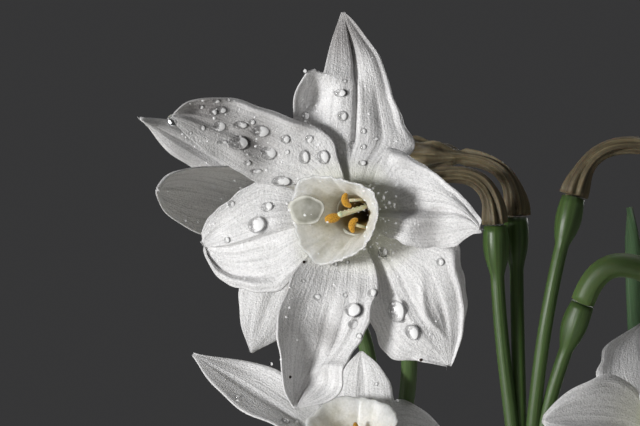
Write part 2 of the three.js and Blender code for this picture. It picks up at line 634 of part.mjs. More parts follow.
// Pot, soil and bulbs
function potSolid() {
  const { height, rimRadius, rimHeight, rimLip, baseRadius, wall, floor } = pot;
  const rimFoot = height - rimHeight;
  const outline = [
    [0, 0], [baseRadius - 1.5, 0], [baseRadius, 1.5], [rimRadius - rimLip - 5, rimFoot],
    [rimRadius - 2.6, rimFoot + 0.8], [rimRadius - 0.6, height - 3], [rimRadius - 2.4, height],
    [rimRadius - wall + 1, height], [rimRadius - wall - 0.6, height - 1.4], [baseRadius - wall, floor],
    [0, floor],
  ];
  const drains = [];
  for (let i = 0; i < pot.drains; i++) {
    const way = (2 * Math.PI * i) / pot.drains;
    const plug = new THREE.CylinderGeometry(pot.drainRadius, pot.drainRadius, 3 * floor, 10);
    plug.rotateX(Math.PI / 2);
    plug.translate(pot.drainCircle * Math.cos(way), pot.drainCircle * Math.sin(way), 0);
    drains.push(solidOf(plug));
  }
  return lathe(outline, pot.segments).subtract(joined(drains));
}

// The bulb's body and the collar of old sheaths round its leaves. grow swells it, to cut its bed.
const bulbShape = [[0, 0], [0.5, 0.03], [0.83, 0.14], [1, 0.38], [0.93, 0.58], [0.78, 0.78], [0.62, 1]];
function bulbSolid([x, y], grow = 0) {
  const { radius, bodyHeight, collarRadius, collarHeight, pocketRadius, pocketFloor, foot } = bulb;
  const body = bulbShape.map(([r, z], i) => [
    r * radius + (i > 0 ? grow : 0),
    z * bodyHeight - (i < 3 ? grow : 0),
  ]);
  const collar = grow > 0 ? [[0, bodyHeight]] : [
    [collarRadius, collarHeight - 5], [collarRadius - 0.4, collarHeight], [pocketRadius, collarHeight],
    [pocketRadius, pocketFloor], [0, pocketFloor],
  ];
  return lathe([...body, ...collar], bulb.segments).translate([x, y, foot]);
}

function soilSolid() {
  const { height, rimRadius, baseRadius, wall, floor } = pot;
  const innerTop = rimRadius - wall - 0.6;
  const share = (soil.edgeHeight - floor) / (height - 1.4 - floor);
  const edge = lerp(baseRadius - wall, innerTop, share) - 1.4;
  const bed = lathe([
    [0, floor + gap], [baseRadius - wall - 1.4, floor + gap], [edge, soil.edgeHeight],
    [edge * 0.5, soil.edgeHeight + soil.mound], [0, soil.edgeHeight + soil.mound],
  ], soil.segments);
  return bed.subtract(joined(bulbPlaces.map((place) => bulbSolid(place, 0.5))));
}

const plant = new THREE.Group();
const add = (name, solid, material) => plant.add(meshOf(name, solid, material));
const numbered = (kind, n) => `${kind}_${String(n).padStart(2, "0")}`;

add("pot", potSolid(), terracotta);
add("soil", soilSolid(), compost);
bulbPlaces.forEach((place, i) => add(`bulb_${i + 1}`, bulbSolid(place), tunic));
leaves.forEach((leaf, i) => add(numbered("leaf", i + 1), leafSolid(leaf), leafGreen));

const counts = { bloom: 0, bud: 0, spent: 0 };
umbels.forEach((umbel, u) => {
  const top = vector(umbel.top);
  const pedicels = [];
  const hang = (kind, { at, faces, neck }, material, solidFor) => {
    counts[kind] += 1;
    const axes = axesOf(faces);
    const throat = vector(at);
    const way = vector(neck).normalize();
    add(numbered(kind, counts[kind]), solidFor(throat, axes, way), material);
    pedicels.push(pedicel(top, throat, axes.ahead, way));
  };
  if (u === 0) {
    hang("bloom", frontBloom, petalWhite, (throat, axes, way) => {
      const tepals = Object.values(frontTepals).map((tepal) => (
        blade(tepalSurface(frontSections(tepal)), 8, 4, bladeThickness)));
      return bloomSolid(throat, axes, way, tepals, true);
    });
  }
  umbel.blooms.forEach((one) => {
    const { turn, opens, tepals } = one;
    const set = tepals ?? [0, 1, 2, 3, 4, 5].map((k) => [turn + 60 * k, opens, bloom.size, bloom.width]);
    hang("bloom", one, petalWhite, (throat, axes, way) => {
      const blades = set.map((row, k) => blade(
        tepalSurface(plainSections(throat, axes, k % 2 === 1, row)), 4, 2, bladeThickness));
      return bloomSolid(throat, axes, way, blades, false);
    });
  });
  umbel.buds.forEach((one) => hang("bud", one, budGreen, (throat, axes, way) => (
    spindleSolid(throat, axes, way, bud))));
  umbel.spent.forEach((one) => hang("spent", one, witheredTan, (throat, axes, way) => (
    spindleSolid(throat, axes, way, spent))));
  const curve = scapeCurve(umbel.foot, top);
  add(`scape_${u + 1}`, scapeSolid(curve, pedicels), stalkGreen);
  add(`spathe_${u + 1}`, spatheSolid(curve, umbel.spathe), parchment);
});

const closedTop = vector(closedScape.top);
add("scape_4", scapeSolid(scapeCurve(closedScape.foot, closedTop), []), stalkGreen);
const spatheFoot = closedTop.clone().add(new THREE.Vector3(0, 0.2, gap + 1));
const spatheTip = spatheFoot.clone().add(new THREE.Vector3(3, 7, closedScape.spatheLength));
const sheathe = (s) => 0.4 + 1.8 * (1 - s) + (closedScape.spatheRadius - 2) * Math.sin(Math.PI * s ** 0.8);
add("spathe_4", stalk(new THREE.LineCurve3(spatheFoot, spatheTip), sheathe, 8, 7, 0.7), parchment);

export default plant;
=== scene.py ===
# Potted paperwhite narcissus: finer pieces and their finishes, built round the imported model.
# Every length is in millimetres until a mesh is made, in the same frame as the model.
import bpy
import math
import numpy as np
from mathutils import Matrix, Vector
from mathutils.bvhtree import BVHTree


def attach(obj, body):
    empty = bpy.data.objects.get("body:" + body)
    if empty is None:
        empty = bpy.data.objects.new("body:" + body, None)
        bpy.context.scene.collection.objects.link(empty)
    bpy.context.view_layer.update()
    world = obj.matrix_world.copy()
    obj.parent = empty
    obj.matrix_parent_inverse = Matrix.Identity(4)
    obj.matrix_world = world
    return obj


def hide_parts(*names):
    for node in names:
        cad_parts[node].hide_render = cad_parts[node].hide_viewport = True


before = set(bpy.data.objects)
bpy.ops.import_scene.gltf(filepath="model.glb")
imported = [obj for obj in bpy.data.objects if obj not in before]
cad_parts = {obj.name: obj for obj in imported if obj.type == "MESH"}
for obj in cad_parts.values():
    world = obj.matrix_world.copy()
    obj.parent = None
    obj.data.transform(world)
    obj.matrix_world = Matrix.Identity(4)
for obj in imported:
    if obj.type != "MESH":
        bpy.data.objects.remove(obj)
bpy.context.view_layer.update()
millimetre = 0.001
upward = np.array([0.0, 0.0, 1.0])


# Small maths on whole arrays

def unit(v):
    return v / np.maximum(np.linalg.norm(v, axis=-1, keepdims=True), 1e-9)


def mix(a, b, share):
    return a + (b - a) * share


def ease(x, low, high):
    # 0 below low, 1 above high, and a smooth S between them
    t = np.clip((x - low) / (high - low), 0, 1)
    return t * t * (3 - 2 * t)


def hill(x, middle, width):
    # a bell of height 1 round the middle
    return np.exp(-((x - middle) / width) ** 2)


def ripple(points, seed, size, waves=7):
    # smooth noise from -1 to 1: a sum of sines with random directions, near one wavelength
    draw = np.random.default_rng(seed)
    ways = unit(draw.normal(size=(waves, 3))) / (size * draw.uniform(0.6, 1.5, (waves, 1)))
    return np.sin(2 * np.pi * (points @ ways.T + draw.uniform(0, 1, waves))).sum(-1) / waves ** 0.5 / 1.6


def throughPoints(points, t):
    # a smooth curve through the points: a cubic between each two, sloped along its neighbours' chord
    ends = np.vstack([2 * points[:1] - points[1:2], points, 2 * points[-1:] - points[-2:-1]])
    place = np.clip(t, 0, 1) * (len(points) - 1)
    i = np.minimum(place.astype(int), len(points) - 2)
    w = (place - i)[:, None]
    a, b, c, d = ends[i], ends[i + 1], ends[i + 2], ends[i + 3]
    return b + w * (c - a) / 2 + w * w * (a - 2.5 * b + 2 * c - d / 2) + w ** 3 * (d - 3 * c + 3 * b - a) / 2


def bezier(a, b, c, d, t):
    t = t[:, None]
    return (1 - t) ** 3 * a + 3 * (1 - t) ** 2 * t * b + 3 * (1 - t) * t * t * c + t ** 3 * d


def alongPath(points, shares):
    # the places at given shares of a path's length
    run = np.concatenate([[0], np.cumsum(np.linalg.norm(np.diff(points, axis=0), axis=1))])
    return np.stack([np.interp(np.asarray(shares) * run[-1], run, points[:, k]) for k in range(3)], 1)


# Shapes: a shape is its points, its faces with the pattern coordinates of their corners, and a finish number

def sheet(surface, thickness, relief=0.0, front=1, finish=0):
    # a closed blade about a surface: each point moves along the surface's normal by the relief and then by
    # half the thickness, to one side for the front and to the other for the back, and walls join the margins
    normal = unit(np.cross(np.gradient(surface, axis=0), np.gradient(surface, axis=1))) * front
    half = (np.zeros(surface.shape[:2]) + thickness)[..., None] / 2
    lift = (np.zeros(surface.shape[:2]) + relief)[..., None]
    rows, columns = surface.shape[:2]
    points = np.concatenate([(surface + normal * (lift + half)).reshape(-1, 3),
                             (surface + normal * (lift - half)).reshape(-1, 3)])
    number = np.arange(rows * columns).reshape(rows, columns)
    face = np.stack([number[:-1, :-1], number[1:, :-1], number[1:, 1:], number[:-1, 1:]], -1).reshape(-1, 4)
    rim = np.concatenate([number[:, 0], number[-1, 1:], number[-2::-1, -1], number[0, -2:0:-1]])
    after = np.roll(rim, -1)
    back = rows * columns
    wall = np.stack([after, rim, rim + back, after + back], -1)
    faces = np.concatenate([face, face[:, ::-1] + back, wall])
    if front < 0:
        faces = faces[:, ::-1]
    along, across = np.meshgrid(np.linspace(0, 1, rows), np.linspace(0, 1, columns), indexing="ij")
    pattern = np.tile(np.stack([across, along], -1).reshape(-1, 2), (2, 1))
    return points, [(faces, pattern[faces])], finish


def wrapped(rings, along=None, finish=0):
    # a closed body through rings of points, with a pole at each end. A ring runs anticlockwise as seen from
    # the end that the next ring lies towards.
    rows, sides = rings.shape[:2]
    along = np.linspace(0, 1, rows) if along is None else along
    points = np.concatenate([rings.reshape(-1, 3), rings[0].mean(0)[None], rings[-1].mean(0)[None]])
    i, j = np.meshgrid(np.arange(rows - 1), np.arange(sides), indexing="ij")
    k = (j + 1) % sides
    face = np.stack([i * sides + j, i * sides + k, (i + 1) * sides + k, (i + 1) * sides + j], -1).reshape(-1, 4)
    u = np.stack([j, j + 1, j + 1, j], -1).reshape(-1, 4) / sides
    v = along[np.stack([i, i, i + 1, i + 1], -1).reshape(-1, 4)]
    sets = [(face, np.stack([u, v], -1))]
    j = np.arange(sides)
    k = (j + 1) % sides
    for pole, row, order in ((rows * sides, 0, 1), (rows * sides + 1, rows - 1, -1)):
        fan = np.stack([np.full(sides, pole), row * sides + k, row * sides + j], -1)[:, ::order]
        fanU = np.stack([j + 0.5, j + 1, j], -1)[:, ::order] / sides
        sets.append((fan, np.stack([fanU, np.full(fanU.shape, along[row])], -1)))
    return points, sets, finish


def tube(path, radius, sides, aside=(1, 0.3, 0.1), widen=1.0, finish=0):
    # a round body along a path: at each place a ring across the path, its radius given along and round it
    forth = unit(np.gradient(path, axis=0))
    aside = np.asarray(aside, float)
    first = unit(aside - forth * (forth @ aside)[:, None])
    second = np.cross(forth, first)
    turn = np.linspace(0, 2 * np.pi, sides, endpoint=False)
    reach = np.zeros((len(path), sides)) + (radius if np.ndim(radius) == 2 else np.reshape(radius, (-1, 1)))
    ring = path[:, None] + reach[..., None] * (
        widen * np.cos(turn)[:, None] * first[:, None] + np.sin(turn)[:, None] * second[:, None])
    return wrapped(ring, finish=finish)


def scattered(shape, middles, ex, ey, ez):
    # copies of a shape, each on its own middle and three axes, which carry its size
    points, sets, finish = shape
    placed = (middles[:, None] + points[None, :, :1] * ex[:, None] + points[None, :, 1:2] * ey[:, None]
              + points[None, :, 2:] * ez[:, None]).reshape(-1, 3)
    shift = np.arange(len(middles))[:, None, None] * len(points)
    return placed, [((faces[None] + shift).reshape(-1, faces.shape[1]),
                     np.tile(pattern, (len(middles), 1, 1))) for faces, pattern in sets], finish


def makePiece(name, shapes, materials, nodes):
    # one mesh out of several shapes, in metres, riding on the plant and standing for the nodes
    points, starts, corners, patterns, finishes, count = [], [], [], [], [], 0
    for shapePoints, sets, finish in shapes:
        for faces, pattern in sets:
            starts.append(np.full(len(faces), faces.shape[1]))
            corners.append((faces + count).ravel())
            patterns.append(pattern.reshape(-1, 2))
            finishes.append(np.full(len(faces), finish))
        points.append(shapePoints)
        count += len(shapePoints)
    points, sizes, corners = np.concatenate(points), np.concatenate(starts), np.concatenate(corners)
    mesh = bpy.data.meshes.new(name)
    mesh.vertices.add(count)
    mesh.vertices.foreach_set("co", (points * millimetre).astype(np.float32).ravel())
    mesh.loops.add(len(corners))
    mesh.loops.foreach_set("vertex_index", corners.astype(np.int32))
    mesh.polygons.add(len(sizes))
    mesh.polygons.foreach_set("loop_start", np.concatenate([[0], np.cumsum(sizes)[:-1]]).astype(np.int32))
    mesh.polygons.foreach_set("material_index", np.concatenate(finishes).astype(np.int32))
    mesh.polygons.foreach_set("use_smooth", np.ones(len(sizes), bool))
    mesh.update(calc_edges=True)
    mesh.uv_layers.new(name="pattern").data.foreach_set("uv", np.concatenate(patterns).astype(np.float32).ravel())
    for material in materials:
        mesh.materials.append(material)
    piece = bpy.data.objects.new(name, mesh)
    bpy.context.scene.collection.objects.link(piece)
    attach(piece, "root")
    if nodes:
        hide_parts(*nodes)
    return piece


# Finishes

def linear(hexColour):
    # an sRGB colour, turned linear
    parts = [int(hexColour[i:i + 2], 16) / 255 for i in (0, 2, 4)]
    return tuple(p / 12.92 if p <= 0.04045 else ((p + 0.055) / 1.055) ** 2.4 for p in parts) + (1.0,)


def addNode(tree, kind, values, output=0):
    # one node, given back as one of its outputs. A value is a socket to link, an input's number or hex
    # colour, or the node's own property, and stops fill a colour ramp.
    made = tree.nodes.new("ShaderNode" + kind)
    for key, value in values.items():
        if key == "stops":
            while len(made.color_ramp.elements) < len(value):
                made.color_ramp.elements.new(0.5)
            for stop, (place, colour) in zip(made.color_ramp.elements, value):
                stop.position = place
                stop.color = linear(colour)
        elif not (isinstance(key, int) or key in made.inputs):
            setattr(made, key, value)
        elif isinstance(value, bpy.types.NodeSocket):
            tree.links.new(value, made.inputs[key])
        else:
            made.inputs[key].default_value = linear(value) if isinstance(value, str) else value
    return made.outputs[output]


def newMaterial(name, **shader):
    # a material with its shader's own sockets set, given back with its tree and the two coordinates
    material = bpy.data.materials.new(name)
    material.use_nodes = True
    tree = material.node_tree
    surface = tree.nodes["Principled BSDF"]
    for key, value in shader.items():
        surface.inputs[key.replace("_", " ")].default_value = value
    coordinates = tree.nodes.new("ShaderNodeTexCoord").outputs
    return material, tree, surface, coordinates["Object"], coordinates["UV"]


def finished(tree, surface, colour, height, depthMm, roughness=None, strength=0.6):
    # joins the colour, the relief in millimetres and the roughness to the shader
    tree.links.new(colour, surface.inputs["Base Color"])
    relief = addNode(tree, "Bump", {"Strength": strength, "Distance": depthMm * millimetre, "Height": height})
    tree.links.new(relief, surface.inputs["Normal"])
    if roughness is not None:
        tree.links.new(roughness, surface.inputs["Roughness"])


tepalFinish = {
    "light": "F5F4F4", "vein": "DAD9D9", "foot": "E6E6D8", "grainMm": 0.17, "veins": (20, 54), "reliefMm": 0.14,
    # tan bruises, and grey patches of painted shade where the tepals turn from the light: where, how wide, and the
    # colour there
    "bruisesAndPaintedShade": [
        (-17.8, -37.5, 414.9, 0.6, "C9A574"), (-17.5, -43.5, 402.4, 0.8, "D8B48A"),
        (-25.2, -44, 420.6, 4.2, "A6A3A2"),
        (-21, -42, 417.5, 4.2, "C0BEBD"), (-12, -40, 428, 5.0, "A9A6A5"), (-15.6, -42, 419.4, 2.2, "A09D9C"),
        (-3.4, -46, 408.6, 3.2, "B4B2B1"), (-13.4, -42, 398, 2.6, "C4C2C1"),
    ],
}


def tepalMaterial():
    # white tepal: long fine veins from noise drawn out along the tepal, a sparkle of tiny cells, and a
    # greenish cream foot. Light passes a little way through it.
    material, tree, surface, place, pattern = newMaterial(
        "white tepal", Roughness=0.42, Subsurface_Weight=0.15, Subsurface_Radius=(1.0, 0.97, 0.92),
        Subsurface_Scale=0.7 * millimetre, Sheen_Weight=0.1, Sheen_Roughness=0.4)
    wide, fine = tepalFinish["veins"]
    stretched = addNode(tree, "Mapping", {"Vector": pattern, "Scale": (wide, 1.6, 1)})
    veins = addNode(tree, "TexNoise", {"Vector": stretched, "Scale": 1.0, "Detail": 2.0, "Roughness": 0.55})
    stretched = addNode(tree, "Mapping", {"Vector": pattern, "Scale": (fine, 3.0, 1)})
    lines = addNode(tree, "TexNoise", {"Vector": stretched, "Scale": 1.0, "Detail": 3.0, "Roughness": 0.55})
    cells = addNode(tree, "TexVoronoi", {"Scale": 1 / (tepalFinish["grainMm"] * millimetre), "Vector": place})
    specks = addNode(tree, "TexNoise", {"Vector": place, "Scale": 0.8 / (tepalFinish["grainMm"] * millimetre),
                                        "Detail": 3.0, "Roughness": 0.7})
    cloud = addNode(tree, "TexNoise", {"Vector": place, "Scale": 420, "Detail": 3.0, "Roughness": 0.55})
    broadVeins = addNode(tree, "Math", {"operation": "MULTIPLY", 0: veins, 1: 0.55})
    fineVeins = addNode(tree, "Math", {"operation": "MULTIPLY", 0: lines, 1: 0.45})
    both = addNode(tree, "Math", {"operation": "ADD", 0: broadVeins, 1: fineVeins})
    colour = addNode(tree, "ValToRGB", {"Fac": both, "stops": [(0.38, tepalFinish["vein"]),
                                                               (0.55, tepalFinish["light"])]})
    tones = addNode(tree, "ValToRGB", {"Fac": specks, "stops": [(0.32, "E2E2E2"), (0.56, "FFFFFF")]})
    colour = addNode(tree, "Mix", {"data_type": "RGBA", "blend_type": "MULTIPLY", 0: 1.0, 6: colour, 7: tones}, 2)
    share = addNode(tree, "ValToRGB", {"Fac": cloud, "stops": [(0.4, "000000"), (0.75, "404040")]})
    colour = addNode(tree, "Mix", {"data_type": "RGBA", 0: share, 6: colour, 7: "DADADC"}, 2)
    rise = addNode(tree, "SeparateXYZ", {"Vector": pattern}, "Y")
    foot = addNode(tree, "MapRange", {"From Min": 0.17, "From Max": 0.05, "Value": rise})
    colour = addNode(tree, "Mix", {"data_type": "RGBA", 0: foot, 6: colour, 7: tepalFinish["foot"]}, 2)
    # the tan patches are bruises; the grey ones darken the tepal as painted shade
    for x, y, z, radius, tone in tepalFinish["bruisesAndPaintedShade"]:
        far = addNode(tree, "VectorMath", {"operation": "DISTANCE",
                                           1: (x * millimetre, y * millimetre, z * millimetre), 0: place}, "Value")
        spot = addNode(tree, "MapRange", {"From Min": radius * millimetre, "From Max": 0.0,
                                          "interpolation_type": "SMOOTHSTEP", "Value": far})
        colour = addNode(tree, "Mix", {"data_type": "RGBA", "blend_type": "MULTIPLY", 0: spot, 6: colour, 7: tone},
                         2)
    veinHeight = addNode(tree, "Math", {"operation": "MULTIPLY", 0: both, 1: 1.1})
    speckHeight = addNode(tree, "Math", {"operation": "MULTIPLY", 0: specks, 1: 0.5})
    cellHeight = addNode(tree, "Math", {"operation": "MULTIPLY", 0: cells, 1: 0.35})
    grainHeight = addNode(tree, "Math", {"operation": "SUBTRACT", 0: speckHeight, 1: cellHeight})
    height = addNode(tree, "Math", {"operation": "ADD", 0: veinHeight, 1: grainHeight})
    rough = addNode(tree, "MapRange", {"To Min": 0.3, "To Max": 0.6, "Value": cells})
    finished(tree, surface, colour, height, tepalFinish["reliefMm"], rough, 0.9)
    return material


def cupMaterial():
    # cream cup: soft clouds and faint folds up its wall, a thin pale rim and an olive throat, darkening to near black
    # deep in the tube as painted shade
    material, tree, surface, place, pattern = newMaterial(
        "cream cup", Roughness=0.36, Subsurface_Weight=0.8, Subsurface_Radius=(1.0, 0.95, 0.85),
        Subsurface_Scale=1.2 * millimetre)
    stretched = addNode(tree, "Mapping", {"Vector": pattern, "Scale": (16, 5, 1)})
    folds = addNode(tree, "TexNoise", {"Vector": stretched, "Scale": 1.0, "Detail": 2.0, "Roughness": 0.55})
    cloud = addNode(tree, "TexNoise", {"Vector": place, "Scale": 700, "Detail": 3.0, "Roughness": 0.55})
    grain = addNode(tree, "TexNoise", {"Vector": place, "Scale": 4200, "Detail": 2.0, "Roughness": 0.55})
    rise = addNode(tree, "SeparateXYZ", {"Vector": pattern}, "Y")
    # the last two stops: the throat's own olive, then near black down the tube, painted shade of its depth
    colour = addNode(tree, "ValToRGB", {"Fac": rise, "stops": [(0.0, "A9B78C"), (0.3, "CDD0BC"), (0.46, "DEDDD2"),
                                                               (0.53, "F4F3EE"), (0.6, "F1EFE8"), (0.75, "ECE9DE"),
                                                               (0.83, "8A7442"), (1.0, "3E3016")]})
    tones = addNode(tree, "ValToRGB", {"Fac": cloud, "stops": [(0.3, "DADAD4"), (0.6, "FFFFFF")]})
    colour = addNode(tree, "Mix", {"data_type": "RGBA", "blend_type": "MULTIPLY", 0: 0.8, 6: colour, 7: tones}, 2)
    tones = addNode(tree, "ValToRGB", {"Fac": grain, "stops": [(0.3, "DCDCD8"), (0.6, "FFFFFF")]})
    colour = addNode(tree, "Mix", {"data_type": "RGBA", "blend_type": "MULTIPLY", 0: 0.4, 6: colour, 7: tones}, 2)
    grainHeight = addNode(tree, "Math", {"operation": "MULTIPLY", 0: grain, 1: 0.4})
    height = addNode(tree, "Math", {"operation": "ADD", 0: folds, 1: grainHeight})
    finished(tree, surface, colour, height, 0.15)
    return material


def lobeMaterial():
    # the cup's slack lobe: thin, its body darkened with painted shade for the hollow seen through it, and a pale
    # rolled edge
    material, tree, surface, place, pattern = newMaterial("cup lobe with painted shade", Roughness=0.55)
    cloud = addNode(tree, "TexNoise", {"Vector": place, "Scale": 900, "Detail": 3.0, "Roughness": 0.55})
    # the pattern is the disc itself, so its distance from the middle runs from 0 to 0.5
    out = addNode(tree, "VectorMath", {"operation": "DISTANCE", 0: pattern, 1: (0.5, 0.5, 0)}, "Value")
    # painted shade: grey over the body, paler only at the rolled edge
    colour = addNode(tree, "ValToRGB", {"Fac": out, "stops": [(0.0, "96958B"), (0.38, "A5A499"), (0.46, "D6D5CC"),
                                                              (0.5, "CFCDC4")]})
    tones = addNode(tree, "ValToRGB", {"Fac": cloud, "stops": [(0.3, "C8C8C0"), (0.65, "FFFFFF")]})
    colour = addNode(tree, "Mix", {"data_type": "RGBA", "blend_type": "MULTIPLY", 0: 0.9, 6: colour, 7: tones}, 2)
    finished(tree, surface, colour, cloud, 0.12)
    return material


def pollenMaterial():
    # orange anther: coarse pollen grains from a cell pattern
    material, tree, surface, place, _ = newMaterial("pollen", Roughness=0.7, Sheen_Weight=0.3)
    cells = addNode(tree, "TexVoronoi", {"Scale": 1 / (0.09 * millimetre), "Vector": place})
    colour = addNode(tree, "ValToRGB", {"Fac": cells, "stops": [(0.0, "E2A81E"), (0.6, "C08A10"), (0.9, "7E5A0A")]})
    height = addNode(tree, "Math", {"operation": "MULTIPLY", 0: cells, 1: -1})
    finished(tree, surface, colour, height, 0.05)
    return material


def styleMaterial():
    # pale waxy style and filaments
    material, tree, surface, place, _ = newMaterial(
        "pale style", Roughness=0.3, Subsurface_Weight=0.3, Subsurface_Scale=0.5 * millimetre)
    grain = addNode(tree, "TexNoise", {"Vector": place, "Scale": 6000, "Detail": 2.0, "Roughness": 0.55})
    colour = addNode(tree, "ValToRGB", {"Fac": grain, "stops": [(0.3, "DCD6A8"), (0.7, "F4F0D8")]})
    finished(tree, surface, colour, grain, 0.03)
    return material


def streakMaterial(name, dark, light, pale, lines, roughness, reliefMm, below=None, **shader):
    # green of a stalk or leaf: fine lines along it, broad drifts of tone and a waxy bloom in patches. The
    # colour below takes over towards the foot.
    material, tree, surface, place, pattern = newMaterial(name, Roughness=roughness, **shader)
    stretched = addNode(tree, "Mapping", {"Vector": pattern, "Scale": (lines, 3, 1)})
    fine = addNode(tree, "TexNoise", {"Vector": stretched, "Scale": 1.0, "Detail": 2.0, "Roughness": 0.55})
    stretched = addNode(tree, "Mapping", {"Vector": place, "Scale": (1, 1, 0.25)})
    broad = addNode(tree, "TexNoise", {"Vector": stretched, "Scale": 60, "Detail": 3.0, "Roughness": 0.55})
    colour = addNode(tree, "ValToRGB", {"Fac": fine, "stops": [(0.3, dark), (0.7, light)]})
    share = addNode(tree, "ValToRGB", {"Fac": broad, "stops": [(0.35, "000000"), (0.75, "8A8A8A")]})
    colour = addNode(tree, "Mix", {"data_type": "RGBA", 0: share, 6: colour, 7: pale}, 2)
    if below:
        rise = addNode(tree, "SeparateXYZ", {"Vector": pattern}, "Y")
        foot = addNode(tree, "MapRange", {"From Min": 0.5, "From Max": 0.2, "Value": rise})
        colour = addNode(tree, "Mix", {"data_type": "RGBA", 0: foot, 6: colour, 7: below}, 2)
    grain = addNode(tree, "TexNoise", {"Vector": place, "Scale": 3000, "Detail": 2.0, "Roughness": 0.55})
    grainHeight = addNode(tree, "Math", {"operation": "MULTIPLY", 0: grain, 1: 0.25})
    height = addNode(tree, "Math", {"operation": "ADD", 0: fine, 1: grainHeight})
    rough = addNode(tree, "MapRange", {"To Min": roughness - 0.1, "To Max": roughness + 0.12, "Value": broad})
    finished(tree, surface, colour, height, reliefMm, rough)
    return material


def papery(name, dark, mid, light, lines, blotchMm, **shader):
    # dry papery skin: straight veins, blotches where it has browned, and a crinkle
    material, tree, surface, place, pattern = newMaterial(name, **shader)
    stretched = addNode(tree, "Mapping", {"Vector": pattern, "Scale": (lines, 4, 1)})
    fine = addNode(tree, "TexNoise", {"Vector": stretched, "Scale": 1.0, "Detail": 3.0, "Roughness": 0.55})
    blotch = addNode(tree, "TexNoise", {"Vector": place, "Scale": 1 / (blotchMm * millimetre), "Detail": 4.0,
                                        "Roughness": 0.55})
    colour = addNode(tree, "ValToRGB", {"Fac": fine, "stops": [(0.3, dark), (0.5, mid), (0.72, light)]})
    share = addNode(tree, "ValToRGB", {"Fac": blotch, "stops": [(0.45, "000000"), (0.72, "B0B0B0")]})
    colour = addNode(tree, "Mix", {"data_type": "RGBA", 0: share, 6: colour, 7: dark}, 2)
    crinkle = addNode(tree, "TexNoise", {"Vector": place, "Scale": 1 / (blotchMm * 0.4 * millimetre), "Detail": 3.0,
                                         "Roughness": 0.55})
    height = addNode(tree, "Math", {"operation": "ADD", 0: fine, 1: crinkle})
    finished(tree, surface, colour, height, 0.25)
    return material


def clayMaterial():
    # unglazed clay: fine grit, drifts of tone, faint turning rings and pale salts towards the foot and rim
    material, tree, surface, place, _ = newMaterial("terracotta", Roughness=0.85)
    grit = addNode(tree, "TexNoise", {"Vector": place, "Scale": 1400, "Detail": 4.0, "Roughness": 0.7})
    drift = addNode(tree, "TexNoise", {"Vector": place, "Scale": 28, "Detail": 4.0, "Roughness": 0.55})
    stretched = addNode(tree, "Mapping", {"Vector": place, "Scale": (3, 3, 420)})
    rings = addNode(tree, "TexNoise", {"Vector": stretched, "Scale": 1.0, "Detail": 2.0, "Roughness": 0.55})
    colour = addNode(tree, "ValToRGB", {"Fac": drift, "stops": [(0.3, "A9573A"), (0.5, "B9674A"),
                                                                (0.72, "C87B5A")]})
    tones = addNode(tree, "ValToRGB", {"Fac": grit, "stops": [(0.25, "B8B0A8"), (0.6, "FFFFFF")]})
    colour = addNode(tree, "Mix", {"data_type": "RGBA", "blend_type": "MULTIPLY", 0: 0.5, 6: colour, 7: tones}, 2)
    salts = addNode(tree, "TexNoise", {"Vector": place, "Scale": 45, "Detail": 5.0, "Roughness": 0.65})
    height = addNode(tree, "SeparateXYZ", {"Vector": place}, "Z")
    low = addNode(tree, "MapRange", {"From Min": 0.05, "From Max": 0.0, "Value": height})
    high = addNode(tree, "MapRange", {"From Min": 0.085, "From Max": 0.11, "Value": height})
    ends = addNode(tree, "Math", {"operation": "MAXIMUM", 0: low, 1: high})
    bands = addNode(tree, "Math", {"operation": "ADD", 0: ends, 1: 0.35})
    patchy = addNode(tree, "ValToRGB", {"Fac": salts, "stops": [(0.5, "000000"), (0.72, "9A9A9A")]})
    share = addNode(tree, "Math", {"operation": "MULTIPLY", 0: patchy, 1: bands})
    colour = addNode(tree, "Mix", {"data_type": "RGBA", 0: share, 6: colour, 7: "DCC9B6"}, 2)
    gritHeight = addNode(tree, "Math", {"operation": "MULTIPLY", 0: grit, 1: 0.5})
    relief = addNode(tree, "Math", {"operation": "ADD", 0: gritHeight, 1: rings})
    finished(tree, surface, colour, relief, 0.25)
    return material


def grainMaterial(name, dark, light, sizeMm, roughness, reliefMm):
    # loose crumbly stuff: light and dark grains of one size over larger patches
    material, tree, surface, place, _ = newMaterial(name, Roughness=roughness)
    grains = addNode(tree, "TexNoise", {"Vector": place, "Scale": 1 / (sizeMm * millimetre), "Detail": 5.0,
                                        "Roughness": 0.7})
    patches = addNode(tree, "TexNoise", {"Vector": place, "Scale": 60, "Detail": 3.0, "Roughness": 0.55})
    share = addNode(tree, "ValToRGB", {"Fac": patches, "stops": [(0.35, "000000"), (0.7, "606060")]})
    under = addNode(tree, "ValToRGB", {"Fac": grains, "stops": [(0.35, dark), (0.7, light)]})
    colour = addNode(tree, "Mix", {"data_type": "RGBA", 0: share, 6: under, 7: dark}, 2)
    finished(tree, surface, colour, grains, reliefMm, strength=0.9)
    return material


def placeInPattern(middle):
    return (middle[0] / 3 + 0.5, middle[1] / 3 + 0.5, 0)


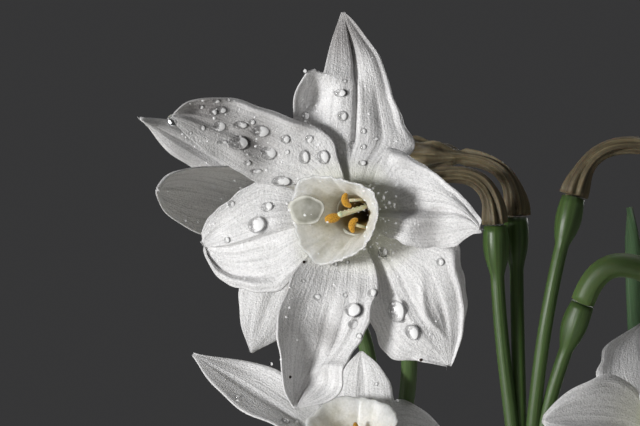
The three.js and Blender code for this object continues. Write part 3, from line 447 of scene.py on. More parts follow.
def waterMaterial():
    # clear water on a bright petal, with the light from the left painted into its colour: painted shade darkens the
    # drop's left, a painted bright patch with painted glints and a faint painted glow stands for the light it gathers
    # on its right, and a painted shadow lies on the petal beyond. The pattern holds places in the drop's own half
    # widths, from -1.5 to 1.5.
    material, tree, surface, place, pattern = newMaterial("water", Roughness=0.05, IOR=1.333)
    stirred = addNode(tree, "TexNoise", {"Scale": 1400.0, "Detail": 2.0, "Vector": place}, "Color")
    fineNoise = addNode(tree, "TexNoise", {"Vector": place, "Scale": 3200, "Detail": 1.0, "Roughness": 0.55})
    # painted glints: bright flecks where the fine noise is high
    paintedGlints = addNode(tree, "MapRange", {"From Min": 0.58, "From Max": 0.66, "Value": fineNoise})
    moved = addNode(tree, "VectorMath", {"operation": "MULTIPLY_ADD", 1: (0.6, 0.6, 0), 2: (-0.3, -0.3, 0),
                                         0: stirred})
    spot = addNode(tree, "VectorMath", {"operation": "ADD", 0: pattern, 1: moved})

    def within(middle, stretch, inner, outer, spot=pattern):
        # 1 inside an oval round a place of the pattern, falling to 0 between two of its sizes
        off = addNode(tree, "VectorMath", {"operation": "SUBTRACT", 0: spot, 1: placeInPattern(middle)})
        wide = addNode(tree, "VectorMath", {"operation": "MULTIPLY", 0: off, 1: stretch})
        size = addNode(tree, "VectorMath", {"operation": "LENGTH", 0: wide}, "Value")
        return addNode(tree, "MapRange", {"From Min": outer / 3, "From Max": inner / 3,
                                          "interpolation_type": "SMOOTHSTEP", "Value": size})

    body = within((0, 0), (1, 1, 0), 0.93, 1.02)
    heart = within((0.06, 0), (1, 1, 0), 0.8, 0.95)
    paintedSparks = addNode(tree, "Math", {"operation": "MULTIPLY", 0: paintedGlints, 1: 0.8})
    brightSide = addNode(tree, "Math", {"operation": "MAXIMUM", 0: within((0.5, 0.02), (0.8, 0.62, 0), 0.42, 0.66, spot),
                                   1: paintedSparks})
    paintedCaustic = addNode(tree, "Math", {"operation": "MULTIPLY", 0: brightSide, 1: heart})
    # painted shadow that the drop casts on the petal to its right
    shade = addNode(tree, "Math", {"operation": "MULTIPLY", 0: within((0.32, 0), (1, 1, 0), 0.8, 1.12), 1: 0.58})
    # painted shade over the drop's left side
    darkSide = addNode(tree, "Math", {"operation": "MULTIPLY", 0: heart, 1: within((-0.42, 0), (1, 0.8, 0), 0.3, 0.8)})
    paintedLeftShade = addNode(tree, "Math", {"operation": "MULTIPLY", 0: darkSide, 1: 0.3})
    # a thin dark outline, painted shade at the drop's edge
    edgeLine = addNode(tree, "Math", {"operation": "SUBTRACT", 0: body, 1: heart})
    line = addNode(tree, "Math", {"operation": "MULTIPLY", 0: edgeLine, 1: 0.36})
    outside = addNode(tree, "Math", {"operation": "SUBTRACT", 0: 1.0, 1: heart})
    castShade = addNode(tree, "Math", {"operation": "MULTIPLY", 0: shade, 1: outside})
    darker = addNode(tree, "Math", {"operation": "MAXIMUM", 0: line, 1: castShade})
    dark = addNode(tree, "Math", {"operation": "MAXIMUM", 0: paintedLeftShade, 1: darker})
    # colour of the painted light and shade: white in the painted bright patch, near black elsewhere
    paintedLightTint = addNode(tree, "Mix", {"data_type": "RGBA", 0: paintedCaustic, 6: "1C1C1E", 7: "FFFFFF"}, 2)
    tree.links.new(paintedLightTint, surface.inputs["Base Color"])
    paintedShadeCover = addNode(tree, "Math", {"operation": "ADD", 0: dark, 1: 0.04})
    paintedLightCover = addNode(tree, "Math", {"operation": "MULTIPLY", 0: paintedCaustic, 1: 0.7})
    cover = addNode(tree, "Math", {"operation": "MAXIMUM", 0: paintedShadeCover, 1: paintedLightCover})
    tree.links.new(cover, surface.inputs["Alpha"])
    # painted glow: the bright patch gives off light though it is no lamp
    surface.inputs["Emission Color"].default_value = linear("FFFFFF")
    paintedGlow = addNode(tree, "Math", {"operation": "MULTIPLY", 0: paintedCaustic, 1: 0.2})
    tree.links.new(paintedGlow, surface.inputs["Emission Strength"])
    return material


def clearWaterMaterial():
    # a hanging drop has no petal behind it: plain clear water, dark with a bright edge
    material, tree, surface, place, _ = newMaterial("clear water", Roughness=0.02, IOR=1.333, Transmission_Weight=1.0)
    ripple = addNode(tree, "TexNoise", {"Vector": place, "Scale": 500, "Detail": 1.0, "Roughness": 0.55})
    tones = addNode(tree, "ValToRGB", {"Fac": ripple, "stops": [(0.0, "F2F5F6"), (1.0, "FFFFFF")]})
    finished(tree, surface, tones, ripple, 0.01)
    return material


white = tepalMaterial()
cream = cupMaterial()
lobeWithPaintedShade = lobeMaterial()
pollen = pollenMaterial()
paleStyle = styleMaterial()
stalkGreen = streakMaterial("green stalk", "33481F", "4A6430", "6E8258", 26, 0.42, 0.10,
                            Subsurface_Weight=0.1, Subsurface_Scale=millimetre)
leafGreen = streakMaterial("blue-green leaf", "2C4428", "41603A", "64795F", 34, 0.45, 0.14,
                           Subsurface_Weight=0.05, Subsurface_Scale=millimetre)
budSkin = streakMaterial("greenish white bud", "C9D3A2", "E9EBD8", "F3F3EC", 20, 0.45, 0.08, "5C7440",
                         Subsurface_Weight=0.2, Subsurface_Scale=millimetre)
parchment = papery("dry spathe", "8A6B42", "C0A06C", "DCC79C", 26, 5.0, Roughness=0.6,
                   Subsurface_Weight=0.15, Subsurface_Scale=millimetre)
witheredSkin = papery("withered tepals", "3A3226", "675C44", "978B6B", 18, 2.5, Roughness=0.65,
                      Subsurface_Weight=0.15, Subsurface_Scale=millimetre)
tunic = papery("bulb tunic", "4A2A16", "7A4C2C", "A87648", 60, 9.0, Roughness=0.5)
clay = clayMaterial()
compost = grainMaterial("damp compost", "1C130D", "4A3626", 1.6, 0.95, 1.2)
bark = grainMaterial("bark crumbs", "2A1A10", "6A4A30", 0.9, 0.9, 0.4)
grit = grainMaterial("white grit", "CFCBC0", "F2EFE6", 0.6, 0.8, 0.3)
water = waterMaterial()
clearWater = clearWaterMaterial()
print("finishes made")


# Pot and soil

pot = {
    "height": 110, "rimRadius": 75, "rimHeight": 25, "rimLip": 4, "baseRadius": 50.5, "wall": 6, "floor": 8,
    "drainRadius": 5, "drainCircle": 24, "drains": 3, "sides": 144,
}
soil = {"edge": 99, "mound": 3, "sides": 160, "rings": 44, "crumbs": 900, "grit": 120}


def roundedProfile(corners, radius, steps=5):
    # a profile with each inner corner replaced by a short curve that touches both of its sides
    rows = [corners[0]]
    for before, corner, after in zip(corners[:-2], corners[1:-1], corners[2:]):
        reach = min(radius, np.linalg.norm(before - corner) / 2.2, np.linalg.norm(after - corner) / 2.2)
        a = corner + unit(before - corner) * reach
        b = corner + unit(after - corner) * reach
        t = np.linspace(0, 1, steps)[:, None]
        rows.extend((1 - t) ** 2 * a + 2 * t * (1 - t) * corner + t * t * b)
    rows.append(corners[-1])
    return np.array(rows)


def turned(profile, sides, middle=(0, 0, 0)):
    # a profile of radius and height carried round a vertical axis
    turn = np.linspace(0, 2 * np.pi, sides, endpoint=False)
    ring = np.stack([np.cos(turn), np.sin(turn), np.zeros(sides)], -1)
    return np.asarray(middle, float) + profile[:, :1, None] * ring + profile[:, 1:, None] * upward


def buildPot():
    foot = pot["height"] - pot["rimHeight"]
    rim, wall, top = pot["rimRadius"], pot["wall"], pot["height"]
    outline = roundedProfile(np.array([
        [0.5, 0], [pot["baseRadius"], 0], [rim - pot["rimLip"] - 5, foot], [rim - 2.6, foot + 0.8],
        [rim - 0.6, top - 3], [rim - 2.4, top], [rim - wall + 1, top], [rim - wall - 0.6, top - 1.4],
        [pot["baseRadius"] - wall, pot["floor"]], [0.5, pot["floor"]]], float), 1.5)
    body = makePiece("clayPot", [wrapped(turned(outline, pot["sides"]))], [clay], ["pot"])
    ways = np.arange(pot["drains"]) * 2 * np.pi / pot["drains"]
    plug = turned(np.array([[pot["drainRadius"], -8], [pot["drainRadius"], 16]], float), 40)
    plugs = [wrapped(plug + np.array([np.cos(w), np.sin(w), 0]) * pot["drainCircle"]) for w in ways]
    points, faces, count = [], [], 0
    for shapePoints, sets, finish in plugs:
        points.append(shapePoints)
        faces.extend(tuple(face) for part, _ in sets for face in (part + count).tolist())
        count += len(shapePoints)
    cutterMesh = bpy.data.meshes.new("drainPlugs")
    cutterMesh.from_pydata((np.concatenate(points) * millimetre).tolist(), [], faces)
    cutter = bpy.data.objects.new("drainPlugs", cutterMesh)
    bpy.context.scene.collection.objects.link(cutter)
    drilled = body.modifiers.new("drains", "BOOLEAN")
    drilled.operation, drilled.solver, drilled.object = "DIFFERENCE", "EXACT", cutter
    graph = bpy.context.evaluated_depsgraph_get()
    mesh = bpy.data.meshes.new_from_object(body.evaluated_get(graph))
    body.modifiers.clear()
    body.data = mesh
    bpy.data.objects.remove(cutter)
    return body


def lump(rings, sides, seed):
    # a rough pebble: a ball of unit radius whose points move in and out
    rise = np.linspace(-1, 1, rings + 2)[1:-1] * np.pi / 2
    turn = np.linspace(0, 2 * np.pi, sides, endpoint=False)
    ball = np.stack([np.cos(rise)[:, None] * np.cos(turn), np.cos(rise)[:, None] * np.sin(turn),
                     np.sin(rise)[:, None] * np.ones(sides)], -1)
    return wrapped(ball * (1 + 0.28 * ripple(ball, seed, 1.1))[..., None])


def soilHeight(x, y):
    # the soil's top: a low mound, fine lumps, and a rise where each bulb pushes it up
    flat = np.stack([x, y, 0 * x], -1)
    height = soil["edge"] + soil["mound"] * ease(-np.hypot(x, y), -62, -28)
    height = height + 0.7 * ripple(flat, 3, 14) + 0.45 * ripple(flat, 4, 4.5) + 0.3 * ripple(flat, 5, 2.1)
    for bulbX, bulbY in bulbPlaces:
        height = height + 1.4 * hill(np.hypot(x - bulbX, y - bulbY), 24, 5)
    return height


def buildSoil():
    share = (soil["edge"] - pot["floor"]) / (pot["height"] - 1.4 - pot["floor"])
    edge = mix(pot["baseRadius"] - pot["wall"], pot["rimRadius"] - pot["wall"] - 0.6, share) - 0.5
    bottom = turned(np.array([[1, pot["floor"] + 0.3], [pot["baseRadius"] - pot["wall"] - 1.4, pot["floor"] + 0.3],
                              [edge, soil["edge"] - 4]], float), soil["sides"])
    top = turned(np.stack([np.linspace(edge, 0.4, soil["rings"]), np.zeros(soil["rings"])], -1), soil["sides"])
    top[..., 2] = soilHeight(top[..., 0], top[..., 1])
    bed = wrapped(np.concatenate([bottom, top]))
    draw = np.random.default_rng(21)
    shapes = [bed]
    for amount, low, high, finish, seed in ((soil["crumbs"], 0.7, 2.3, 1, 31), (soil["grit"], 0.8, 1.9, 2, 32)):
        radius = edge * 0.98 * np.sqrt(draw.uniform(0, 1, amount))
        turn = draw.uniform(0, 2 * np.pi, amount)
        x, y = radius * np.cos(turn), radius * np.sin(turn)
        clear = np.all([np.hypot(x - a, y - b) > 21 for a, b in bulbPlaces], axis=0)
        x, y = x[clear], y[clear]
        size = draw.uniform(low, high, len(x))
        middles = np.stack([x, y, soilHeight(x, y) + size * 0.2], -1)
        axes = [unit(draw.normal(size=(len(x), 3))) for _ in range(2)]
        ex = axes[0]
        ey = unit(np.cross(ex, axes[1]))
        ez = np.cross(ex, ey)
        spans = size[:, None] * draw.uniform(0.6, 1.2, (3, len(x), 1))
        shapes.append(scattered(lump(4, 7, seed), middles, ex * spans[0], ey * spans[1],
                                ez * spans[2])[:2] + (finish,))
    return makePiece("compostBed", shapes, [compost, bark, grit], ["soil"])


# Bulbs: a turned body under a papery skin, with a torn collar where leaves and scapes come out

bulb = {
    "foot": 67, "radius": 23, "height": 60, "collarTop": 78, "collarRadius": 12.2, "pocketRadius": 10.8,
    "pocketFloor": 63, "sides": 96,
}
bulbPlaces = [(-11, -30), (31.5, 5.5), (-20.6, 24.5)]
bulbProfile = np.array([[0.02, 0], [0.5, 0.03], [0.83, 0.14], [1, 0.38], [0.93, 0.58], [0.78, 0.78], [0.62, 1]])


def buildBulb(number, place):
    middle = np.array([place[0], place[1], bulb["foot"]], float)
    body = throughPoints(np.c_[bulbProfile * [bulb["radius"], bulb["height"]], np.zeros(7)],
                         np.linspace(0, 1, 48))[:, :2]
    neck = [[13.2, 66], [12.4, 72], [12.2, 76]]
    profile = np.vstack([body, neck])
    rings = turned(profile, bulb["sides"], middle)
    out = unit(rings - middle) * [1, 1, 0]
    turn = np.linspace(0, 2 * np.pi, bulb["sides"], endpoint=False)
    rise = (rings[..., 2] - bulb["foot"]) / bulb["collarTop"]
    ridges = 0.22 * np.sin(turn * 19 + number) + 0.16 * np.sin(turn * 31 + 2 * number + 3 * rise)
    rings = rings + out * (ridges + 0.35 * ripple(rings, 40 + number, 16))[..., None]
    torn = 1.5 * ripple(np.stack([np.cos(turn), np.sin(turn), 0 * turn + number], -1) * 10, 50 + number, 6)
    lip = turned(np.array([[bulb["collarRadius"] - 0.3, bulb["collarTop"]]]), bulb["sides"], middle)
    lip[..., 2] += torn - 0.6
    inner = turned(np.array([[bulb["pocketRadius"] + 0.3, bulb["collarTop"] - 0.6]]), bulb["sides"], middle)
    inner[..., 2] += torn - 0.4
    pocket = turned(np.array([[bulb["pocketRadius"], 70], [bulb["pocketRadius"], 64.2], [9.5, 63], [0.5, 63]]),
                    bulb["sides"], middle)
    shapes = [wrapped(np.concatenate([rings, lip, inner, pocket]))]
    draw = np.random.default_rng(60 + number)
    for k in range(5):  # loose flakes of the outer skin
        around = draw.uniform(0, 2 * np.pi)
        start, end = draw.uniform(0.42, 0.55), draw.uniform(0.72, 0.98)
        wide = draw.uniform(0.22, 0.4)
        t, s = np.meshgrid(np.linspace(0, 1, 18), np.linspace(-1, 1, 11), indexing="ij")
        level = mix(start, end, t)
        radius = np.interp(level * bulb["height"], profile[:, 1], profile[:, 0])
        angle = around + s * wide * (1 - 0.75 * t ** 2)
        reach = radius + 0.9 + 1.6 * t ** 3
        flake = np.stack([reach * np.cos(angle), reach * np.sin(angle), level * bulb["height"]], -1) + middle
        flake = flake + 0.5 * ripple(flake, 70 + k, 7)[..., None] * [0.5, 0.5, 0.4]
        shapes.append(sheet(flake, 0.35, front=-1, finish=0))
    return makePiece(f"bulbSkin{number}", shapes, [tunic], [f"bulb_{number}"])


# Straps: leaves and spathes

def strap(foot, stackWay, azimuth, lean, length, twist, channel, bendPower, halfWidth, rows, columns):
    # a spine that rises and leans over by a power of its length, with a channelled blade across it
    share = np.linspace(0, 1, 49)
    tilt = np.radians(lean * share ** bendPower)
    way = math.radians(azimuth)
    tangent = np.stack([np.sin(tilt) * math.cos(way), np.sin(tilt) * math.sin(way), np.cos(tilt)], -1)
    spine = foot + np.vstack([np.zeros((1, 3)), np.cumsum(tangent[:-1] * length / 48, 0)])
    turned = np.radians(mix(stackWay, azimuth + twist, ease(share, 0, 0.8)))
    side = unit(np.cross(tangent, np.stack([np.cos(turned), np.sin(turned), 0 * turned], -1)))
    t = np.linspace(0, 1, rows)
    fine = [throughPoints(a, t) for a in (spine, tangent, side)]
    hollow = np.cross(fine[1], fine[2])
    half = halfWidth(t)[:, None, None]
    across = np.linspace(-1, 1, columns)[None, :, None]
    return fine[0][:, None] + fine[2][:, None] * across * half + hollow[:, None] * channel * half * across ** 2


leaf = {"sheathHalf": 4.6, "channel": 0.22, "thickness": 1.5, "rows": 84, "columns": 17}
leaves = [
    [0, 4.4, 200, 20, 214, 14, 20], [0, 6.6, 178, 54, 240, 15, -15], [0, 8.6, 205, 88, 214, 15, 10],
    [0, -4.4, 345, 16, 220, 14, -25], [0, -6.6, 318, 62, 232, 15, 20],
    [1, 4.4, 116, 14, 282, 12, -100], [1, 6.6, 30, 48, 256, 15, -20], [1, 8.6, 335, 80, 228, 15, 15],
    [1, -6.6, 192, 28, 205, 13, -10],
    [2, 5.6, 84, 20, 232, 14, -5], [2, 7.4, 50, 50, 240, 15, 15], [2, 9, 105, 82, 228, 15, -20],
    [2, -6.6, 205, 62, 226, 15, -15],
]
fanAzimuths = [180, 0, 69]
stalkFoot = bulb["foot"] + bulb["pocketFloor"] + 0.5


def buildLeaf(number, home, place, azimuth, lean, length, width, twist):
    side = fanAzimuths[home] + (0 if place > 0 else 180)
    nearest = side + ((azimuth - side + 540) % 360 - 180)
    foot = np.array([bulbPlaces[home][0] + abs(place) * math.cos(math.radians(side)),
                     bulbPlaces[home][1] + abs(place) * math.sin(math.radians(side)), stalkFoot])

    def halfWidth(s):
        body = mix(leaf["sheathHalf"], width / 2, ease(s, 0, 0.45))
        tip = np.sqrt(np.maximum(0, 1 - np.maximum(0, (s - 0.72) / 0.28) ** 2.2))
        return np.maximum(0.35, body * tip)

    surface = strap(foot, side, nearest, lean, length, twist, leaf["channel"], 1.7, halfWidth,
                    leaf["rows"], leaf["columns"])
    across = np.linspace(-1, 1, leaf["columns"])[None]
    t = np.linspace(0, 1, leaf["rows"])[:, None]
    thickness = leaf["thickness"] * (1 - 0.72 * across ** 2) * (1 - 0.5 * t)
    ribs = 0.07 * np.cos(across * np.pi * 7) + 0.25 * ripple(surface, 80 + number, 38) * np.abs(across)
    name = f"leaf_{number:02d}"
    return makePiece(f"strapLeaf{number:02d}", [sheet(surface, thickness, ribs)], [leafGreen], [name])


# Blooms

bloom = {
    "size": 16.5, "width": 10.4, "tubeLength": 14, "tubeRadius": 1.4, "ringRadius": 2, "footHalf": 1.1,
    "cupDepth": 4.6, "ovaryLength": 6, "ovarySwell": 0.45, "pedicelRadius": 0.85,
}


def axesOf(faces):
    # right, up and ahead of a bloom, as seen by someone it faces
    ahead = unit(np.asarray(faces, float))
    right = unit(np.cross(upward, ahead))
    return right, np.cross(ahead, right), ahead


def placedAt(at, axes, right, over, ahead):
    right, over, ahead = np.broadcast_arrays(*[np.asarray(a, float) for a in (right, over, ahead)])
    return at + right[..., None] * axes[0] + over[..., None] * axes[1] + ahead[..., None] * axes[2]


def tubePath(at, ahead, neck, shares):
    half = bloom["tubeLength"] / 2
    foot = at - ahead * half - neck * half
    curve = bezier(foot, foot + neck * half * 0.7, at - ahead * half * 0.7, at, np.linspace(0, 1, 120))
    return alongPath(curve, shares)


def loft(sections, rows, columns, wobble=None):
    # smooth lines through the edges and midribs of the sections, and a parabola across through the three
    t = np.linspace(0, 1, rows)
    edge, rib, farEdge = [throughPoints(sections[:, k], t)[:, None] for k in range(3)]
    across = np.linspace(-1, 1, columns)[None, :, None]
    wide = 1 if wobble is None else 1 + wobble(t)[:, None, None] * np.abs(across) ** 3
    return rib + (farEdge - edge) / 2 * across * wide + ((edge + farEdge) / 2 - rib) * across ** 2


plainTepal = {"sections": 7, "curl": 26, "innerCup": 0.55, "outerCup": -0.3, "innerLift": 0.5,
              "rows": 34, "columns": 17, "thickness": 0.5}


def plainSections(at, axes, inner, turn, opens, length, width, curl=None, cupping=None):
    # a tepal that leaves the throat at its turn, opens away from the facing axis and widens to its middle
    steps = plainTepal["sections"] - 1
    share = np.linspace(0, 1, steps + 1)
    opening = np.radians(opens + (plainTepal["curl"] if curl is None else curl) * (share - 0.5))
    half = np.maximum(0.15, mix(bloom["footHalf"] * (1 - share), width / 2, np.sin(np.pi * share ** 0.8) ** 0.75))
    if cupping is None:
        cupping = plainTepal["innerCup"] if inner else plainTepal["outerCup"]
    lift = cupping * half * half / width
    step = np.arange(steps)
    radial = bloom["ringRadius"] + np.concatenate([[0], np.cumsum(length / steps * np.sin(opening[step]))])
    ahead = np.concatenate([[0], np.cumsum(length / steps * np.cos(opening[step]))])
    ahead = ahead + (plainTepal["innerLift"] if inner else -plainTepal["innerLift"])
    outward = math.radians(turn)
    side = np.array([-1.0, 0.0, 1.0])
    out = radial[:, None] - np.abs(side) * (lift * np.cos(opening))[:, None]
    forth = ahead[:, None] + np.abs(side) * (lift * np.sin(opening))[:, None]
    x = out * math.cos(outward) - side * half[:, None] * math.sin(outward)
    y = out * math.sin(outward) + side * half[:, None] * math.cos(outward)
    return placedAt(at, axes, x, y, forth)


def tepalThickness(rows, columns, middle):
    # thickest at the foot and along the midrib, thin at the margins
    t = np.linspace(0, 1, rows)[:, None]
    v = np.linspace(-1, 1, columns)[None]
    return middle * (1 - 0.62 * np.abs(v) ** 2.5) * (1.15 - 0.4 * t)


def plainTepalShape(at, axes, inner, seed, *row):
    rows, columns = plainTepal["rows"], plainTepal["columns"]
    draw = np.random.default_rng(seed)
    phase = draw.uniform(0, 6.28, 3)
    surface = loft(plainSections(at, axes, inner, *row), rows, columns,
                   lambda t: 0.05 * np.sin(9 * t + phase[0]) + 0.03 * np.sin(21 * t + phase[1]))
    t = np.linspace(0, 1, rows)[:, None]
    v = np.linspace(-1, 1, columns)[None]
    crease = -0.32 * hill(v, 0.04 * math.sin(phase[2]), 0.12) * ease(t, 0.05, 0.25) * ease(-t, -1.0, -0.7)
    waves = 0.45 * ripple(surface, seed, 9) * ease(t, 0.1, 0.4) * (0.3 + np.abs(v))
    margin = draw.uniform(-0.5, 0.7) * ease(v * (1 if seed % 2 else -1), 0.7, 1.0) * ease(t, 0.2, 0.5)
    return sheet(surface, tepalThickness(rows, columns, plainTepal["thickness"]), crease + waves + margin)


def cupShape(at, axes, neck, rimRadius, rimHeight, sides, fine, slack=0.1):
    # tube and cup in one closed body: rings up the tube, out and up the cup's wall, over its rim and down
    # the inside to the throat. The rim's radius and height vary round it.
    tubeShares = np.linspace(0, 0.93, 16)
    path = tubePath(at, axes[2], neck, tubeShares)
    forth = unit(np.gradient(path, axis=0))
    right = unit(axes[0] - forth * (forth @ axes[0])[:, None])
    over = np.cross(forth, right)
    turn = np.linspace(0, 2 * np.pi, sides, endpoint=False)
    cos, sin = np.cos(turn)[:, None], np.sin(turn)[:, None]
    tubeRadius = bloom["tubeRadius"] * (1 + 0.04 * np.cos(3 * turn))[:, None]
    lower = path[:, None] + tubeRadius * (cos * right[:, None] + sin * over[:, None])
    rise = np.concatenate([np.linspace(0, 1, fine), np.linspace(1, 0, fine), [0, 0, 0]])[:, None]
    inside = np.concatenate([np.zeros(fine), np.ones(fine), [1, 1, 1]])[:, None]
    depth = np.concatenate([np.zeros(2 * fine), [0.7, 1.9, 3.4]])[:, None]
    foot = np.concatenate([np.full(fine, 2.45), np.full(fine, 2.0), [1.25, 1.05, 0.8]])[:, None]
    wall = inside * mix(0.5, 0.2, rise)
    folds = slack * (np.sin(7 * turn + 1) + 0.8 * np.sin(11 * turn + 4 * rise)) * rise * (1 - rise) * 2
    folds = folds + 0.04 * np.sin(17 * turn) * rise ** 3
    reach = mix(foot, rimRadius - wall, rise ** 1.25) + folds
    height = rise * rimHeight - depth + inside * (1 - rise) * 0.5
    upper = placedAt(at, axes, reach * np.cos(turn), reach * np.sin(turn), height)
    count = len(tubeShares)
    alongCup = np.concatenate([np.linspace(0, 0.28, count), np.linspace(0.3, 0.52, fine),
                               np.linspace(0.54, 0.8, fine),
                               [0.86, 0.93, 1.0]])
    return wrapped(np.concatenate([lower, upper]), alongCup)


def antherShape(middle, along, across, length, girth, curl, finish=0):
    # a sausage bent into an arc of the given turn, with a furrow down its front
    t = np.linspace(0, 1, 26)
    along, across = unit(np.asarray(along, float)), unit(np.asarray(across, float))
    if curl > 1e-3:
        angle = (t - 0.5) * curl
        bend = length / curl
        path = middle + np.outer(np.sin(angle) * bend, along) + np.outer((1 - np.cos(angle)) * bend, across)
        path = path - across * bend * (1 - math.cos(curl / 2)) * 0.5
    else:
        path = middle + np.outer((t - 0.5) * length, along)
    front = np.cross(along, across)
    turn = np.linspace(0, 2 * np.pi, 18, endpoint=False)
    radius = girth * np.sin(np.pi * mix(0.04, 0.96, t))[:, None] ** 0.45 * (1 - 0.3 * hill(np.cos(turn), 1, 0.35))
    return tube(path, radius, 18, front, finish=finish)


def ballShape(middles, radius, finish=0, squash=1.0):
    # small smooth balls, for beads
    rise = np.linspace(-1, 1, 9)[1:-1] * np.pi / 2
    turn = np.linspace(0, 2 * np.pi, 12, endpoint=False)
    ball = np.stack([np.cos(rise)[:, None] * np.cos(turn), np.cos(rise)[:, None] * np.sin(turn),
                     np.sin(rise)[:, None] * np.ones(12)], -1)
    middles = np.atleast_2d(middles)
    radius = np.zeros(len(middles)) + radius
    ex, ey, ez = [np.outer(radius, e) for e in np.eye(3)]
    return scattered(wrapped(ball), middles, ex, ey, ez * squash)[:2] + (finish,)


def plainBloom(node, number, at, faces, neck, turn=0, opens=84, tepals=None):
    at, neck, axes = np.array(at, float), unit(np.array(neck, float)), axesOf(faces)
    rows = tepals or [[turn + 60 * k, opens, bloom["size"], bloom["width"]] for k in range(6)]
    shapes = [plainTepalShape(at, axes, k % 2 == 1, number * 10 + k, *row) for k, row in enumerate(rows)]
    blades = makePiece(f"tepals{number:02d}", shapes, [white], [node])
    angle = np.linspace(0, 2 * np.pi, 72, endpoint=False)
    draw = np.random.default_rng(100 + number)
    phase = draw.uniform(0, 6.28, 3)
    rimRadius = 4.85 + 0.35 * np.cos(3 * (angle - 0.14)) + 0.12 * np.sin(8 * angle + phase[0])
    rimHeight = bloom["cupDepth"] + 0.18 * np.sin(6 * angle + phase[1]) + 0.08 * np.sin(17 * angle + phase[2])
    makePiece(f"cup{number:02d}", [cupShape(at, axes, neck, rimRadius, rimHeight, 72, 14)], [cream], [node])
    inner = []
    for k in range(3):
        way = math.radians(90 + 120 * k)
        outward = placedAt(0, axes, math.cos(way), math.sin(way), 0)
        middle = placedAt(at, axes, 1.45 * math.cos(way), 1.45 * math.sin(way), 2.5)
        inner.append(antherShape(middle, axes[2] + 0.15 * outward, outward, 2.2, 0.42, 0.5))
        stem = np.stack([placedAt(at, axes, 0.9 * math.cos(way), 0.9 * math.sin(way), -2.5), middle])
        inner.append(tube(alongPath(stem, np.linspace(0, 1, 6)), 0.16, 10, axes[0], finish=1))
    pistil = np.stack([placedAt(at, axes, 0, 0, -3.3), placedAt(at, axes, 0.15, 0.05, 3.4)])
    shares = np.linspace(0, 1, 12)
    inner.append(tube(alongPath(pistil, shares), mix(0.24, 0.3, shares), 12, axes[0], finish=1))
    inner.append(ballShape(placedAt(at, axes, 0.15, 0.05, 3.4), 0.42, 1, 0.8))
    makePiece(f"stamens{number:02d}", inner, [pollen, paleStyle], [node])
    return blades


# The front bloom, from outlines measured from its throat. The camera's place is what they were sized by.

